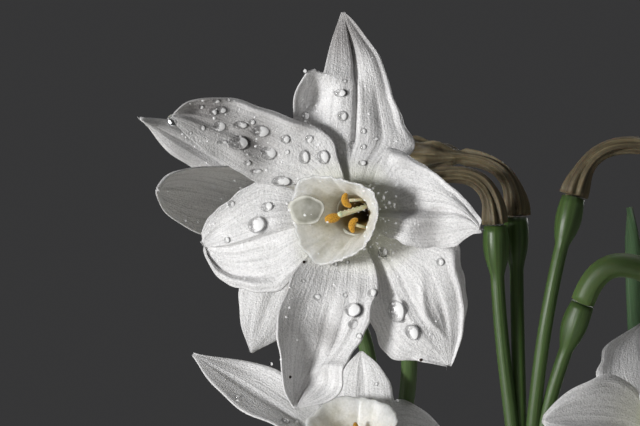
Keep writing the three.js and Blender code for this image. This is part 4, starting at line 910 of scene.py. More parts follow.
view = {"x": -14, "y": -309, "z": 410, "lens": 150, "sensor": 36, "width": 640, "height": 426}
frontBloom = {
    "at": [-10.3, -42, 409.9], "faces": [-0.539, -0.831, -0.139], "neck": [-0.12, -0.36, 0.92],
    "rows": 112, "columns": 85, "thickness": 0.5, "viewDistance": 267, "sightRight": -3.7, "sightUp": 0.1,
}
frontTepals = {
    "top": {
        "turn": 90, "fan": -30, "layer": 0.3,
        "sections": [
            [[-3.6, 5.2, 1.5], [-0.5, 5.2, 0.5], [3.4, 4.4, -0.1]],
            [[-5.8, 8.0, 1.4], [-0.2, 7.8, 0.6], [5.8, 6.4, 0.2]],
            [[-6.3, 11.0, 0.8], [-0.1, 10.4, 0.8], [4.7, 9.3, 1.2]],
            [[-5.2, 14.3, 0.2], [-0.1, 12.4, 1.0], [3.8, 11.8, 1.8]],
            [[-3.4, 14.0, 0.6], [-0.2, 14.4, 1.2], [2.5, 14.6, 2.2]],
            [[-2.8, 16.6, 1.3], [-0.5, 16.8, 1.3], [1.2, 16.9, 2.1]],
            [[-1.6, 20.2, 1.0], [-1.4, 20.2, 1.0], [-1.2, 20.2, 1.0]],
        ],
    },
    "right": {
        "turn": 5, "fan": -35, "layer": -0.4,
        "sections": [
            [[2.2, 5.0, -1.6], [4.6, 0.2, -2.4], [4.0, -2.9, -2.5]],
            [[3.2, 6.6, -1.6], [6.0, 0.3, -3.2], [5.8, -3.3, -3.4]],
            [[5.3, 6.0, -2.0], [7.4, 0.3, -4.1], [7.3, -3.4, -4.3]],
            [[7.4, 4.6, -3.0], [8.8, 0.3, -5.0], [8.8, -3.4, -5.1]],
            [[9.3, 2.3, -4.4], [10.1, 0.1, -5.8], [10.2, -3.0, -5.8]],
            [[11.0, 0.3, -5.8], [11.4, -0.6, -6.4], [11.5, -2.1, -6.4]],
            [[12.5, -1.6, -6.8], [12.5, -1.75, -6.8], [12.5, -1.9, -6.8]],
        ],
    },
    "lowerRight": {
        "turn": -50, "fan": -30, "layer": 0.3,
        "sections": [
            [[7.0, -2.2, -1.7], [3.9, -5.2, -0.7], [1.3, -6.6, 0.8]],
            [[9.9, -2.9, -2.1], [5.1, -7.2, -1.0], [1.2, -9.8, 1.0]],
            [[10.7, -5.6, -1.9], [6.2, -9.2, -1.2], [2.0, -12.6, 1.0]],
            [[11.1, -8.6, -1.2], [7.2, -11.0, -1.2], [3.4, -14.3, 0.7]],
            [[11.0, -11.4, -0.6], [8.0, -12.6, -0.9], [5.3, -14.8, 0.4]],
            [[10.1, -13.6, -0.3], [8.7, -14.0, -0.5], [7.4, -15.0, 0.1]],
            [[9.4, -15.2, -0.2], [9.2, -15.2, -0.2], [9.0, -15.2, -0.2]],
        ],
    },
    "bottom": {
        "turn": -105, "fan": -32, "layer": -0.4,
        "sections": [
            [[1.9, -5.8, -1.2], [-1.5, -5.4, -0.4], [-5.3, -4.6, -1.0]],
            [[2.3, -8.8, -1.3], [-2.0, -8.2, -0.4], [-7.0, -7.2, -2.0]],
            [[1.6, -11.6, -1.3], [-2.7, -11.0, -0.1], [-7.9, -10.4, -2.6]],
            [[0.4, -14.0, -1.4], [-3.5, -13.6, 0.2], [-7.9, -13.4, -2.8]],
            [[-0.7, -16.4, -1.9], [-4.4, -15.9, 0.3], [-7.5, -16.0, -2.5]],
            [[-2.8, -18.7, -1.9], [-5.4, -17.9, -0.3], [-7.0, -18.3, -1.8]],
            [[-6.0, -19.5, -1.2], [-6.15, -19.5, -1.2], [-6.3, -19.5, -1.2]],
        ],
    },
    "lowerLeft": {
        "turn": 190, "fan": -30, "layer": 0.3,
        "sections": [
            [[-5.4, -5.4, 0.6], [-6.0, -1.3, 1.6], [-5.8, 2.2, 2.6]],
            [[-7.6, -7.4, 1.0], [-8.4, -1.9, 2.4], [-9.0, 3.4, 2.8]],
            [[-9.9, -7.7, 1.9], [-10.4, -2.5, 3.2], [-11.5, 2.4, 3.0]],
            [[-12.1, -7.4, 3.0], [-12.2, -3.0, 4.0], [-13.4, 1.1, 3.3]],
            [[-13.9, -6.3, 4.1], [-13.7, -3.2, 4.7], [-14.8, -0.3, 3.9]],
            [[-15.0, -4.6, 5.0], [-14.8, -3.2, 5.2], [-15.5, -1.6, 4.7]],
            [[-15.4, -3.1, 5.3], [-15.4, -2.9, 5.3], [-15.4, -2.7, 5.3]],
        ],
    },
    "upperLeft": {
        "turn": 140, "fan": -32, "layer": -0.4,
        "sections": [
            [[-5.6, 2.8, 1.3], [-4.0, 4.2, 0.6], [-1.8, 5.4, -0.4]],
            [[-8.6, 2.9, 1.1], [-6.7, 5.8, 0.5], [-2.9, 7.8, -0.7]],
            [[-11.2, 3.7, 0.6], [-9.4, 7.2, 0.1], [-6.1, 9.5, -0.7]],
            [[-13.6, 5.4, 0.0], [-12.0, 8.4, -0.4], [-9.6, 10.7, -0.8]],
            [[-15.8, 6.7, -0.7], [-14.6, 9.4, -1.0], [-13.1, 11.7, -1.1]],
            [[-17.7, 8.5, -1.5], [-17.0, 10.0, -1.6], [-16.6, 11.4, -1.6]],
            [[-18.8, 9.8, -2.0], [-18.7, 10.0, -2.0], [-18.6, 10.2, -2.0]],
        ],
    },
}
# Creases, folds and rolled margins of each tepal, in millimetres towards the viewer, at places along t (0 at
# the throat) and across v (-1 at the first edge of its sections, 1 at the last).
frontRelief = {
    "top": lambda t, v: (
        -0.5 * hill(v, 0.0, 0.04) * ease(t, 0.12, 0.3) * ease(-t, -0.98, -0.8)
        - 0.7 * hill(v, 0.02, 0.1) * ease(t, 0.6, 0.7) * ease(-t, -0.98, -0.85)
        + 0.7 * hill(v, 0.62, 0.35) * hill(t, 0.72, 0.16)
        - 0.22 * hill(v, 0.45, 0.08) * hill(t, 0.35, 0.22)
        + 0.45 * hill(v, 0.86, 0.09) * ease(t, 0.3, 0.45) - 0.5 * ease(v, 0.9, 1.0) * ease(t, 0.3, 0.5)
        - 1.8 * hill(v, -0.68, 0.26) * hill(t, 0.44, 0.11) + 0.7 * hill(v, -0.98, 0.12) * hill(t, 0.48, 0.16)),
    "right": lambda t, v: (
        -0.4 * hill(v, 0.0, 0.07) * ease(t, 0.3, 0.5) * ease(-t, -0.97, -0.8)
        + 0.5 * hill(v, -0.84, 0.08) * ease(t, 0.2, 0.35) - 0.5 * ease(-v, 0.88, 1.0) * ease(t, 0.2, 0.35)
        + 1.7 * ease(v, -0.03, 0.2) * hill(t, 0.22, 0.2)),
    "lowerRight": lambda t, v: (
        0.42 * hill(v + 0.16 * np.sin(9 * t), -0.22, 0.07) * hill(t, 0.5, 0.16)
        - 0.25 * hill(v, -0.38, 0.07) * hill(t, 0.55, 0.14)
        + 0.25 * hill(v, 0.25, 0.06) * hill(t, 0.42, 0.2) - 0.2 * hill(v, 0.05, 0.05) * hill(t, 0.35, 0.2)
        + 0.4 * hill(v, -0.84, 0.07) * ease(t, 0.25, 0.4) - 0.45 * ease(-v, 0.88, 1.0) * ease(t, 0.2, 0.35)
        + 0.35 * hill(v, 0.86, 0.08) * ease(t, 0.7, 0.8) - 0.4 * ease(v, 0.9, 1.0) * ease(t, 0.65, 0.8)),
    "bottom": lambda t, v: (
        1.0 * ease(-v, -0.45, 0.5) * ease(t, 0.15, 0.3) * ease(-t, -0.85, -0.7)
        - 0.3 * hill(v, 0.55, 0.2) * ease(t, 0.22, 0.4) * ease(-t, -0.8, -0.6)
        + 0.45 * hill(t, 0.69, 0.045) * ease(-v, -0.35, 0.2) - 0.35 * hill(t, 0.77, 0.05) * ease(-v, -0.45, 0.0)
        + 0.14 * np.cos(v * 15 + 1) * hill(t, 0.45, 0.2) * ease(-v, -0.3, 0.0)
        - 0.25 * hill(v, 0.0, 0.05) * ease(t, 0.75, 0.85) * ease(-t, -1.0, -0.95)),
    "lowerLeft": lambda t, v: (
        0.7 * ease(v, -0.03, 0.015) * (1 - 0.75 * ease(v, 0.1, 0.9)) * ease(t, 0.08, 0.25)
        - 0.35 * hill(v, -0.72, 0.07) * ease(t, 0.35, 0.5)
        + 0.35 * hill(v, -0.86, 0.08) * ease(t, 0.3, 0.45) - 0.3 * ease(-v, 0.9, 1.0)
        - 0.4 * hill(v, 0.45, 0.2) * hill(t, 0.75, 0.12)),
    "upperLeft": lambda t, v: (
        1.2 * ease(t, 0.3, 1.0) - 0.55 * hill(v, 0.3, 0.3) * hill(t, 0.83, 0.09) + 0.3 * hill(v, 0.9,
                                                                                              0.08) * ease(t, 0.3,
                                                                                                           0.45)
        - 0.3 * ease(v, 0.92, 1.0) * ease(t, 0.3, 0.45) - 0.25 * hill(v, -0.1, 0.12) * ease(t, 0.2, 0.5)
        + 0.3 * hill(v, -0.55, 0.2) * hill(t, 0.45, 0.12)),
}
# The cup's rim as it is seen, in millimetres right of and above the throat
cupRim = [
    [-5.8, 3.5], [-5.0, 3.7], [-3.5, 3.75], [-2.0, 3.6], [-0.5, 3.2], [0.7, 2.8], [1.5, 2.3], [1.9, 1.5], [2.2, 0.5],
    [2.1, -0.7], [1.7, -1.8], [1.1, -2.8], [0.3, -3.7], [-0.7, -4.3], [-1.7, -4.7], [-3.0, -5.0], [-4.0, -5.3],
    [-4.8, -4.2], [-5.5, -3.5], [-6.0, -2.1], [-6.5, -0.7], [-6.6, 0.3], [-6.5, 1.3], [-6.2, 2.3],
]


def seenAt(right, above, ahead):
    # the point on the line of sight through a place on the throat's plane that lies so far ahead of the throat
    at, axis = np.array(frontBloom["at"]), axesOf(frontBloom["faces"])[2]
    eye = np.array([view["x"], view["y"], view["z"]], float)
    through = at + np.stack([right, 0 * np.asarray(right), above], -1)
    ray = through - eye
    s = (ahead - (eye - at) @ axis) / (ray @ axis)
    return eye + ray * np.reshape(s, np.shape(s) + (1,))


def frontSections(turn, fan, layer, sections):
    at, axes = np.array(frontBloom["at"]), axesOf(frontBloom["faces"])
    ways = np.radians(turn + np.array([-fan, 0, fan]))
    foot = placedAt(at, axes, bloom["ringRadius"] * np.cos(ways), bloom["ringRadius"] * np.sin(ways), -layer)
    right, above, back = np.moveaxis(np.array(sections, float), -1, 0)
    spread = 1 + back / frontBloom["viewDistance"]
    x = frontBloom["sightRight"] + (right - frontBloom["sightRight"]) * spread
    z = frontBloom["sightUp"] + (above - frontBloom["sightUp"]) * spread
    return np.concatenate([foot[None], at + np.stack([x, back, z], -1)])


def buildFrontBloom():
    rows, columns = frontBloom["rows"], frontBloom["columns"]
    t = np.linspace(0, 1, rows)[:, None]
    v = np.linspace(-1, 1, columns)[None]
    pieces = []
    for k, (name, tepal) in enumerate(frontTepals.items()):
        phase = 1.7 * k
        surface = loft(frontSections(**tepal), rows, columns,
                       lambda s: 0.022 * np.sin(19 * s + phase) + 0.014 * np.sin(43 * s + 2 * phase))
        fine = 0.10 * ripple(surface, 200 + k, 3.2) + 0.16 * ripple(surface, 210 + k, 7.5)
        relief = frontRelief[name](t, v) + fine * ease(t, 0.1, 0.3)
        thickness = tepalThickness(rows, columns, frontBloom["thickness"])
        shape = sheet(surface, thickness, relief, front=-1)
        pieces.append(makePiece(f"frontTepal{name[0].upper()}{name[1:]}", [shape], [white], ["bloom_01"]))

    at, axes = np.array(frontBloom["at"]), axesOf(frontBloom["faces"])
    neck = unit(np.array(frontBloom["neck"]))
    rim = np.array(cupRim)
    rim = seenAt(rim[:, 0], rim[:, 1], bloom["cupDepth"]) - at
    angle, reach = np.arctan2(rim @ axes[1], rim @ axes[0]), np.hypot(rim @ axes[0], rim @ axes[1])
    order = np.argsort(angle)
    turn = np.linspace(0, 2 * np.pi, 180, endpoint=False)
    rimRadius = np.interp(turn, angle[order], reach[order], period=2 * np.pi)
    rimRadius = np.convolve(np.tile(rimRadius, 3), np.ones(5) / 5, "same")[180:360]
    rimRadius = rimRadius + 0.03 * np.sin(26 * turn) + 0.03 * np.sin(41 * turn + 1)
    rimHeight = bloom["cupDepth"] + 0.16 * np.sin(5 * turn + 2) + 0.07 * np.sin(19 * turn) + 0.04 * np.sin(47 * turn)
    cup = cupShape(at, axes, neck, rimRadius, rimHeight, 180, 30, 0.24)
    # the slack lobe of the rim, folded in over the mouth: an oval sheet with a rolled edge
    # grid: a square is bent to a disc, x = a * sqrt(1 - b^2 / 2) and y = b * sqrt(1 - a^2 / 2)
    square, other = np.meshgrid(np.linspace(-1, 1, 41), np.linspace(-1, 1, 41), indexing="ij")
    discRight, discUp = square * np.sqrt(1 - other ** 2 / 2), other * np.sqrt(1 - square ** 2 / 2)
    radius, around = np.hypot(discRight, discUp), np.arctan2(discUp, discRight)
    uneven = radius * (1 + 0.06 * np.sin(3 * around + 1) + 0.04 * np.sin(5 * around))
    flapRight = -4.9 + 1.75 * uneven * np.cos(around) * (1 - 0.12 * np.cos(around))
    flapUp = 0.4 + 1.42 * uneven * np.sin(around)
    flap = seenAt(flapRight, flapUp, 4.3 + 0.5 * (1 - radius ** 2) - 0.25 * np.cos(around) * radius)
    lobe = sheet(flap, 0.14 + 0.05 * hill(radius, 0.96, 0.06), 0.06 * hill(radius, 0.95, 0.07), front=1)
    disc = np.tile(np.stack([discRight, discUp], -1).reshape(-1, 2) / 2 + 0.5, (2, 1))
    lobe = (lobe[0], [(faces, disc[faces]) for faces, _ in lobe[1]], lobe[2])
    pieces.append(makePiece("frontCup", [cup], [cream], ["bloom_01"]))
    pieces.append(makePiece("frontCupLobe", [lobe], [lobeWithPaintedShade], ["bloom_01"]))

    toward = -unit(seenAt(0.0, 0.0, 3.0) - np.array([view["x"], view["y"], view["z"]]))
    right, above = axesOf(toward)[:2]
    upper, left, lower = seenAt(-1.0, 1.35, 2.4), seenAt(-2.45, -0.4, 3.9), seenAt(-0.3, -1.1, 2.2)
    shapes = [
        antherShape(upper, -0.35 * right + above, right + 0.35 * above, 1.7, 0.34, 2.5),
        antherShape(left, right + 0.22 * above, above, 1.55, 0.5, 0.15),
        antherShape(lower, 0.3 * right + above, right - 0.5 * above, 1.7, 0.34, 2.4),
    ]
    for start, end in ((seenAt(0.9, 1.5, 0.0), upper), (seenAt(0.8, 0.62, 0.2), left),
                       (seenAt(1.0, -1.4, 0.0), lower)):
        stem = alongPath(np.stack([start, end + right * 0.2]), np.linspace(0, 1, 8))
        shapes.append(tube(stem, 0.17, 12, above, finish=1))
    stylePath = bezier(seenAt(2.0, 1.2, -1.5), seenAt(1.0, 0.7, 0.4), seenAt(-0.5, 0.35, 2.2),
                       seenAt(-1.75, -0.05, 3.5),
                       np.linspace(0, 1, 30))
    share = np.linspace(0, 1, 30)
    shapes.append(tube(stylePath, 0.22 + 0.05 * ease(share, 0.85, 1.0), 16, above, finish=1))
    beads = stylePath[4::3] + above * 0.2
    shapes.append(ballShape(beads, 0.11, 1))
    shapes.append(ballShape(stylePath[-1:] + right * 0.05, 0.3, 1))
    pieces.append(makePiece("frontStamens", shapes, [pollen, paleStyle], ["bloom_01"]))
    return pieces


# Buds and spent blooms

def spindleRings(at, axes, neck, length, girth, flatten, rows, sides, radiusMix, tubeRadius=1.4):
    # rings up the tube and then through a spindle, fullest before its middle
    tubeShares = np.linspace(0, 0.95, 14)
    path = tubePath(at, axes[2], neck, tubeShares)
    forth = unit(np.gradient(path, axis=0))
    right = unit(axes[0] - forth * (forth @ axes[0])[:, None])
    over = np.cross(forth, right)
    turn = np.linspace(0, 2 * np.pi, sides, endpoint=False)
    cos, sin = np.cos(turn)[:, None], np.sin(turn)[:, None]
    thin = mix(bloom["tubeRadius"], tubeRadius, ease(tubeShares, 0, 0.4))[:, None, None]
    thin = thin * radiusMix(0.35 + 0.3 * tubeShares[:, None], turn[None])[..., None]
    lower = path[:, None] + thin * (cos * right[:, None] + sin * over[:, None])
    s = np.linspace(0.02, 1, rows)[:, None]
    radius = 0.25 + (tubeRadius - 0.25) * (1 - s) + (girth - 0.7) * np.sin(np.pi * s ** 0.9) ** 0.8
    radius = radius * radiusMix(s, turn[None]) * mix(1, flatten, np.sin(turn) ** 2)
    upper = placedAt(at, axes, radius * np.cos(turn), radius * np.sin(turn), s * length)
    return np.concatenate([lower, upper])


def buildBud(number, at, faces, neck):
    at, neck, axes = np.array(at, float), unit(np.array(neck, float)), axesOf(faces)

    def overlaps(s, turn):
        # three outer tepals wrapped one over the next
        wrap = (turn * 3 / (2 * np.pi) + 0.5 * s + 0.3 * number) % 1.0
        return 1 + (0.07 * wrap - 0.05 * hill(wrap, 0.0, 0.05) + 0.03 * np.cos(2 * np.pi * wrap)) * np.sin(np.pi * s)

    rings = spindleRings(at, axes, neck, 14, 3, 1, 44, 60, overlaps)
    return makePiece(f"budSkin{number:02d}", [wrapped(rings)], [budSkin], [f"bud_{number:02d}"])


def buildSpent(number, at, faces, neck):
    at, neck, axes = np.array(at, float), unit(np.array(neck, float)), axesOf(faces)

    def crumpled(s, turn):
        # tepals shrunk into six twisted folds
        folds = np.sin(6 * turn + 7 * s + number) * 0.17 + np.sin(11 * turn - 9 * s) * 0.09
        return 1 + folds * np.sin(np.pi * s) ** 0.5 + 0.09 * np.sin(23 * s + 2 * turn + number)

    rings = spindleRings(at, axes, neck, 15, 3.1, 0.6, 60, 72, crumpled, 0.95)
    return makePiece(f"spentHead{number:02d}", [wrapped(rings)], [witheredSkin], [f"spent_{number:02d}"])


# Scapes with their pedicels, and spathes

scape = {"radius": 2.9, "shrink": 0.75, "widen": 1.15}
spathe = {"below": 12, "away": 3.5, "length": 40, "halfWidth": 6.5, "channel": 0.3}


def scapePath(foot, top, shares):
    base = np.array([foot[0], foot[1], stalkFoot])
    rise = top[2] - base[2]
    curve = bezier(base, base + upward * rise * 0.4, mix(top, base, 0.35) - upward * rise * 0.02, top,
                   np.linspace(0, 1, 240))
    return curve if shares is None else alongPath(curve, shares)


def scapeShape(foot, top):
    share = np.linspace(0, 1, 64)
    turn = np.linspace(0, 2 * np.pi, 32, endpoint=False)
    radius = (scape["radius"] * mix(1, scape["shrink"], share) + 0.5 * share ** 14)[:, None]
    radius = radius * (1 + 0.035 * np.cos(2 * turn) + 0.015 * np.cos(9 * turn))
    return tube(scapePath(foot, top, share), radius, 32, widen=scape["widen"])


def pedicelShape(top, at, ahead, neck):
    # a thin stalk that leaves the head of the scape upwards, bends over, and swells into the ovary
    foot = tubePath(at, ahead, neck, [0.0])[0] - neck * 0.3
    below = foot - neck * bloom["ovaryLength"]
    reach = np.linalg.norm(below - top)
    start = unit(mix(unit(below - top), upward, 0.35))
    root = top + start * 1.2 - upward * 2.2
    bend = bezier(root, root + start * reach * 0.4, below - neck * reach * 0.35, below, np.linspace(0, 1, 120))
    path = np.vstack([bend, mix(below, foot, np.linspace(0, 1, 20)[1:, None])])
    total = np.linalg.norm(np.diff(path, axis=0), axis=1).sum()
    share = np.linspace(0, 1, 50)
    seedBox = np.clip((share - 1 + bloom["ovaryLength"] / total) / (bloom["ovaryLength"] / total), 0, 1)
    radius = mix(bloom["pedicelRadius"], bloom["tubeRadius"], seedBox) + bloom["ovarySwell"] * np.sin(np.pi * seedBox)
    turn = np.linspace(0, 2 * np.pi, 22, endpoint=False)
    lobes = 1 + 0.07 * np.sin(np.pi * seedBox)[:, None] * np.cos(3 * turn)
    aside = np.cross(start, neck)
    aside = aside if np.linalg.norm(aside) > 0.05 else np.array([1, 0.2, 0.1])
    return tube(alongPath(path, share), radius[:, None] * lobes, 22, aside)


def buildSpathe(number, foot, top, azimuth, lean):
    way = math.radians(azimuth)
    path = scapePath(foot, top, None)
    run = np.linalg.norm(np.diff(path, axis=0), axis=1).sum()
    start = alongPath(path, [1 - spathe["below"] / run])[0]
    start = start + spathe["away"] * np.array([math.cos(way), math.sin(way), 0])

    def halfWidth(s):
        ragged = 1 + 0.05 * np.sin(31 * s + number) + 0.04 * np.sin(57 * s)
        return np.maximum(0.3, spathe["halfWidth"] * np.sin(np.pi * (0.2 + 0.8 * s)) ** 0.8) * ragged

    surface = strap(start, azimuth, azimuth, lean, spathe["length"], 25, spathe["channel"], 0.45, halfWidth, 64, 25)
    v = np.linspace(-1, 1, 25)[None]
    crinkle = 0.3 * ripple(surface, 300 + number, 6) + 0.12 * np.cos(v * 21) + 0.15 * ripple(surface, 310 + number,
                                                                                             2.6)
    return makePiece(f"drySpathe{number}", [sheet(surface, 0.3, crinkle)], [parchment], [f"spathe_{number}"])


def buildClosedSpathe(top):
    # a sheath still closed round its buds, ribbed and swollen above its foot
    foot = top + np.array([0, 0.2, 1.3])
    tip = foot + np.array([3, 7, 46])
    s = np.linspace(0, 1, 70)
    turn = np.linspace(0, 2 * np.pi, 60, endpoint=False)
    radius = 0.3 + 1.8 * (1 - s) + 4.4 * np.sin(np.pi * s ** 0.8)
    ribs = 1 + 0.02 * np.cos(20 * turn) + 0.05 * np.cos(3 * turn + 4 * s[:, None]) * np.sin(np.pi * s)[:, None]
    body = tube(mix(foot, tip, s[:, None]), radius[:, None] * ribs, 60, widen=0.7)
    return makePiece("closedSpathe", [body], [parchment], ["spathe_4"])


umbels = [
    {
        "foot": [-11, -30], "top": [-12, -14, 362],
        "blooms": [
            {"at": [-16, -21, 408.9], "faces": [-0.2, -0.97, -0.1], "neck": [-0.35, -0.3, 0.85],
             "tepals": [[154, 21, 23.3, 8.4, -83, 1.6], [140.3, 54, 20.4, 4.9, -40, -0.8], [80, 84, 11, 8],
                        [25, 84, 13, 8], [250.5, 67, 13.4, 7.5, 12, -0.2], [318, 90, 12, 8]]},
            {"at": [-10.2, -35, 384.6], "faces": [-0.2, -0.52, 0.83], "neck": [0.1, -0.5, 0.75],
             "tepals": [[160.5, 66.5, 20, 6.5, 19, 0.8], [97, 51.5, 10.3, 7.1, -39, 0], [38, 113, 10, 12, 40, 0.8],
                        [-35, 100, 16, 10.4],
                        [-88, 90, 16, 10.4], [-138, 84, 16, 10.4]]},
            {"at": [21.8, -34, 387.6], "faces": [0.25, -0.85, 0.4], "neck": [0.6, -0.5, 0.5],
             "tepals": [[178, 79.5, 13, 8.5, 32, 1], [89, 106, 11.1, 13, -14, 0], [37, 84, 16, 10.4],
                        [-22, 84, 16, 10.4],
                        [-76, 86, 16, 10.4], [-127, 86, 16, 10.4]]},
            {"at": [12, -12, 352], "faces": [0.75, 0.1, -0.6], "neck": [0.8, 0.1, 0.2], "turn": 20, "opens": 86},
            {"at": [-38, 7, 364], "faces": [-0.8, 0.55, 0.0], "neck": [-0.6, 0.4, 0.45], "turn": 0, "opens": 84},
        ],
        "buds": [
            {"at": [-34, -30, 366], "faces": [-0.75, -0.6, -0.2], "neck": [-0.6, -0.5, 0.45]},
            {"at": [-12, 8, 378], "faces": [-0.1, 0.85, 0.4], "neck": [0, 0.6, 0.75]},
        ],
        "spent": [], "spathe": [175, 150],
    },
    {
        "foot": [31.5, 5.5], "top": [11, 20, 372],
        "blooms": [
            {"at": [44, 6, 384], "faces": [0.85, -0.5, 0.1], "neck": [0.6, -0.3, 0.6], "turn": 10, "opens": 82},
            {"at": [36, 46, 367], "faces": [0.6, 0.78, -0.1], "neck": [0.5, 0.6, 0.35], "turn": 35, "opens": 85},
            {"at": [2, 52, 362], "faces": [-0.3, 0.92, -0.1], "neck": [-0.2, 0.7, 0.3], "turn": 5, "opens": 80},
        ],
        "buds": [
            {"at": [26.2, 12, 402.5], "faces": [0.85, -0.2, -0.45], "neck": [0.3, -0.2, 0.9]},
            {"at": [35, 13, 390], "faces": [0.85, 0.3, 0.35], "neck": [0.5, 0, 0.8]},
        ],
        "spent": [
            {"at": [0.2, 16, 414.6], "faces": [-0.95, -0.1, -0.15], "neck": [-0.05, -0.1, 1]},
            {"at": [3.6, 24, 417], "faces": [-0.9, 0.25, 0.05], "neck": [0.0, 0.1, 1]},
            {"at": [25.6, 18, 418.2], "faces": [0.95, 0.1, -0.1], "neck": [0.25, 0.1, 1]},
        ],
        "spathe": [320, 150],
    },
    {
        "foot": [-23.5, 26], "top": [-44, 34, 322],
        "blooms": [
            {"at": [-62, 8, 338], "faces": [-0.5, -0.85, 0.1], "neck": [-0.4, -0.6, 0.65], "turn": 15, "opens": 84},
            {"at": [-80, 44, 334], "faces": [-0.95, 0.1, 0.15], "neck": [-0.7, 0, 0.6], "turn": 40, "opens": 86},
            {"at": [-48, 68, 338], "faces": [-0.2, 0.95, 0.1], "neck": [-0.1, 0.6, 0.7], "turn": 0, "opens": 82},
        ],
        "buds": [{"at": [-46, 30, 354], "faces": [-0.5, -0.3, 0.8], "neck": [-0.1, -0.1, 1]}],
        "spent": [], "spathe": [330, 140],
    },
]
closedScape = {"foot": [-17, 23.5], "top": [-6, 13, 262]}


# Water drops

drops = {
    # right and down in the view's own dots, then half the width and half the height there
    "seen": [
        [219, 126, 6, 6], [202, 128, 3, 3], [201, 107, 2.5, 2.5], [240, 125, 7, 4],
        [260, 131, 9, 6], [238, 143, 10, 7], [268, 153, 8, 7], [285, 139, 4.5, 4.5], [309, 139, 4, 4],
        [304, 157, 5, 7], [323, 157, 6, 7], [287, 152, 2.5, 2.5], [281, 181, 9, 5.5], [247, 163, 3.5, 3],
        [256, 171, 6, 2.5], [220, 110, 6, 4], [213, 112, 4, 4], [216, 101, 3, 2.5], [228, 100, 2, 2],
        [252, 122, 3, 3], [190, 133, 2, 2], [222, 142, 5, 2], [340, 93, 6, 4], [342, 116, 5, 5],
        [344, 81, 2.5, 2], [363, 131, 3, 3], [363, 147, 3, 3], [362, 163, 4, 3], [352, 145, 3.5, 3.5],
        [375, 139, 2.5, 2.5], [305, 116, 4, 4], [304, 71, 3, 2.5], [231, 204, 3.5, 3.5], [267, 207, 6, 5],
        [257, 225, 9, 8], [227, 240, 3, 3], [397, 311, 9, 11], [412, 332, 7, 8], [440, 262, 4, 4],
        [383, 252, 5, 5], [353, 310, 8, 7], [353, 324, 5, 4.5], [372, 293, 4.5, 4.5], [345, 295, 2.5, 2.5],
        [317, 297, 4, 3], [303, 281, 2, 2], [359, 336, 3, 3], [237, 397, 2, 2], [285, 421, 3, 3],
        [271, 364, 2, 2], [376, 384, 2, 2], [347, 262, 2, 2], [335, 264, 2.5, 2.5],
    ],
    "hanging": (173, 120), "hangingRadius": 0.6, "dirt": [[304, 262], [290, 377], [421, 360]], "dirtRadius": 0.16,
    "rise": 0.5, "tiny": 420, "tinySmallest": 0.04, "tinyLargest": 0.14, "tinyRise": 0.85,
    "others": 9, "othersSmallest": 0.2, "othersLargest": 0.6, "othersRise": 0.7,
    # fields of tiny drops: left, top, width and height in dots
    "tinyFields": [[165, 15, 320, 411], [165, 95, 160, 90], [205, 200, 90, 90], [362, 175, 36, 92],
                   [165, 15, 320, 411]],
}


def dropDome(rings, sides, variant):
    # a dome of unit half width with a thin hem round it that reaches further on its right and carries the drop's
    # painted shadow on the petal. Its outline is a circle with a few slow waves and a corner on the right, different
    # in each variant.
    turn = np.linspace(0, 2 * np.pi, sides, endpoint=False)
    outline = (1 + 0.07 * np.cos(2 * turn + 1.9 * variant) + 0.05 * np.cos(3 * turn + 2.3 * variant)
               + 0.10 * np.maximum(0, np.cos(turn + 0.5 * math.sin(3.1 * variant))) ** 5)
    share = np.linspace(0, 1, rings)
    reach = np.concatenate([[0.5, 1.42, 1.3], np.cos(share[:-1] * np.pi / 2)])[:, None]
    level = np.concatenate([[-0.35, -0.12, 0.03], 0.04 + 0.96 * np.sin(share[:-1] * np.pi / 2)])
    lean = 0.3 + 0.7 * np.maximum(0, np.cos(turn))
    reach = np.where(reach > 1, 1 + (reach - 1) * lean, reach) * outline
    points, sets, finish = wrapped(np.stack([reach * np.cos(turn), reach * np.sin(turn),
                                             level[:, None] * np.ones(sides)], -1))
    return points, [(faces, points[faces][..., :2] / 3 + 0.5) for faces, _ in sets], finish


def dropsOn(places, rise, rings, sides, paintedSparkle=0.0):
    # drops at rows of place, normal, half width and half height, in six outlines. A sparkling drop takes its colours
    # from the painted bright patch of the pattern alone, so it shows as a painted glint.
    shapes = []
    for variant in range(6):
        middles, normals, size = np.split(places[variant::6], [3, 6], axis=1)
        right = unit(np.cross(upward, normals) + 1e-6)
        over = np.cross(normals, right)
        height = rise * np.sqrt(size[:, :1] * size[:, 1:])
        points, sets, finish = scattered(dropDome(rings, sides, variant), middles, right * size[:, :1],
                                         over * size[:, 1:], normals * height)
        sets = [(faces, mix(pattern, np.array(placeInPattern((0.42, 0))[:2]), paintedSparkle)) for faces, pattern in sets]
        shapes.append((points, sets, finish))
    return shapes


def meshTree(objects):
    # the pieces' faces in one search tree, for rays in metres
    points, faces, count = [], [], 0
    for piece in objects:
        co = np.zeros(len(piece.data.vertices) * 3, np.float32)
        piece.data.vertices.foreach_get("co", co)
        points.append(co.reshape(-1, 3))
        faces.extend([i + count for i in p.vertices] for p in piece.data.polygons)
        count += len(piece.data.vertices)
    return BVHTree.FromPolygons(np.concatenate(points).tolist(), faces)


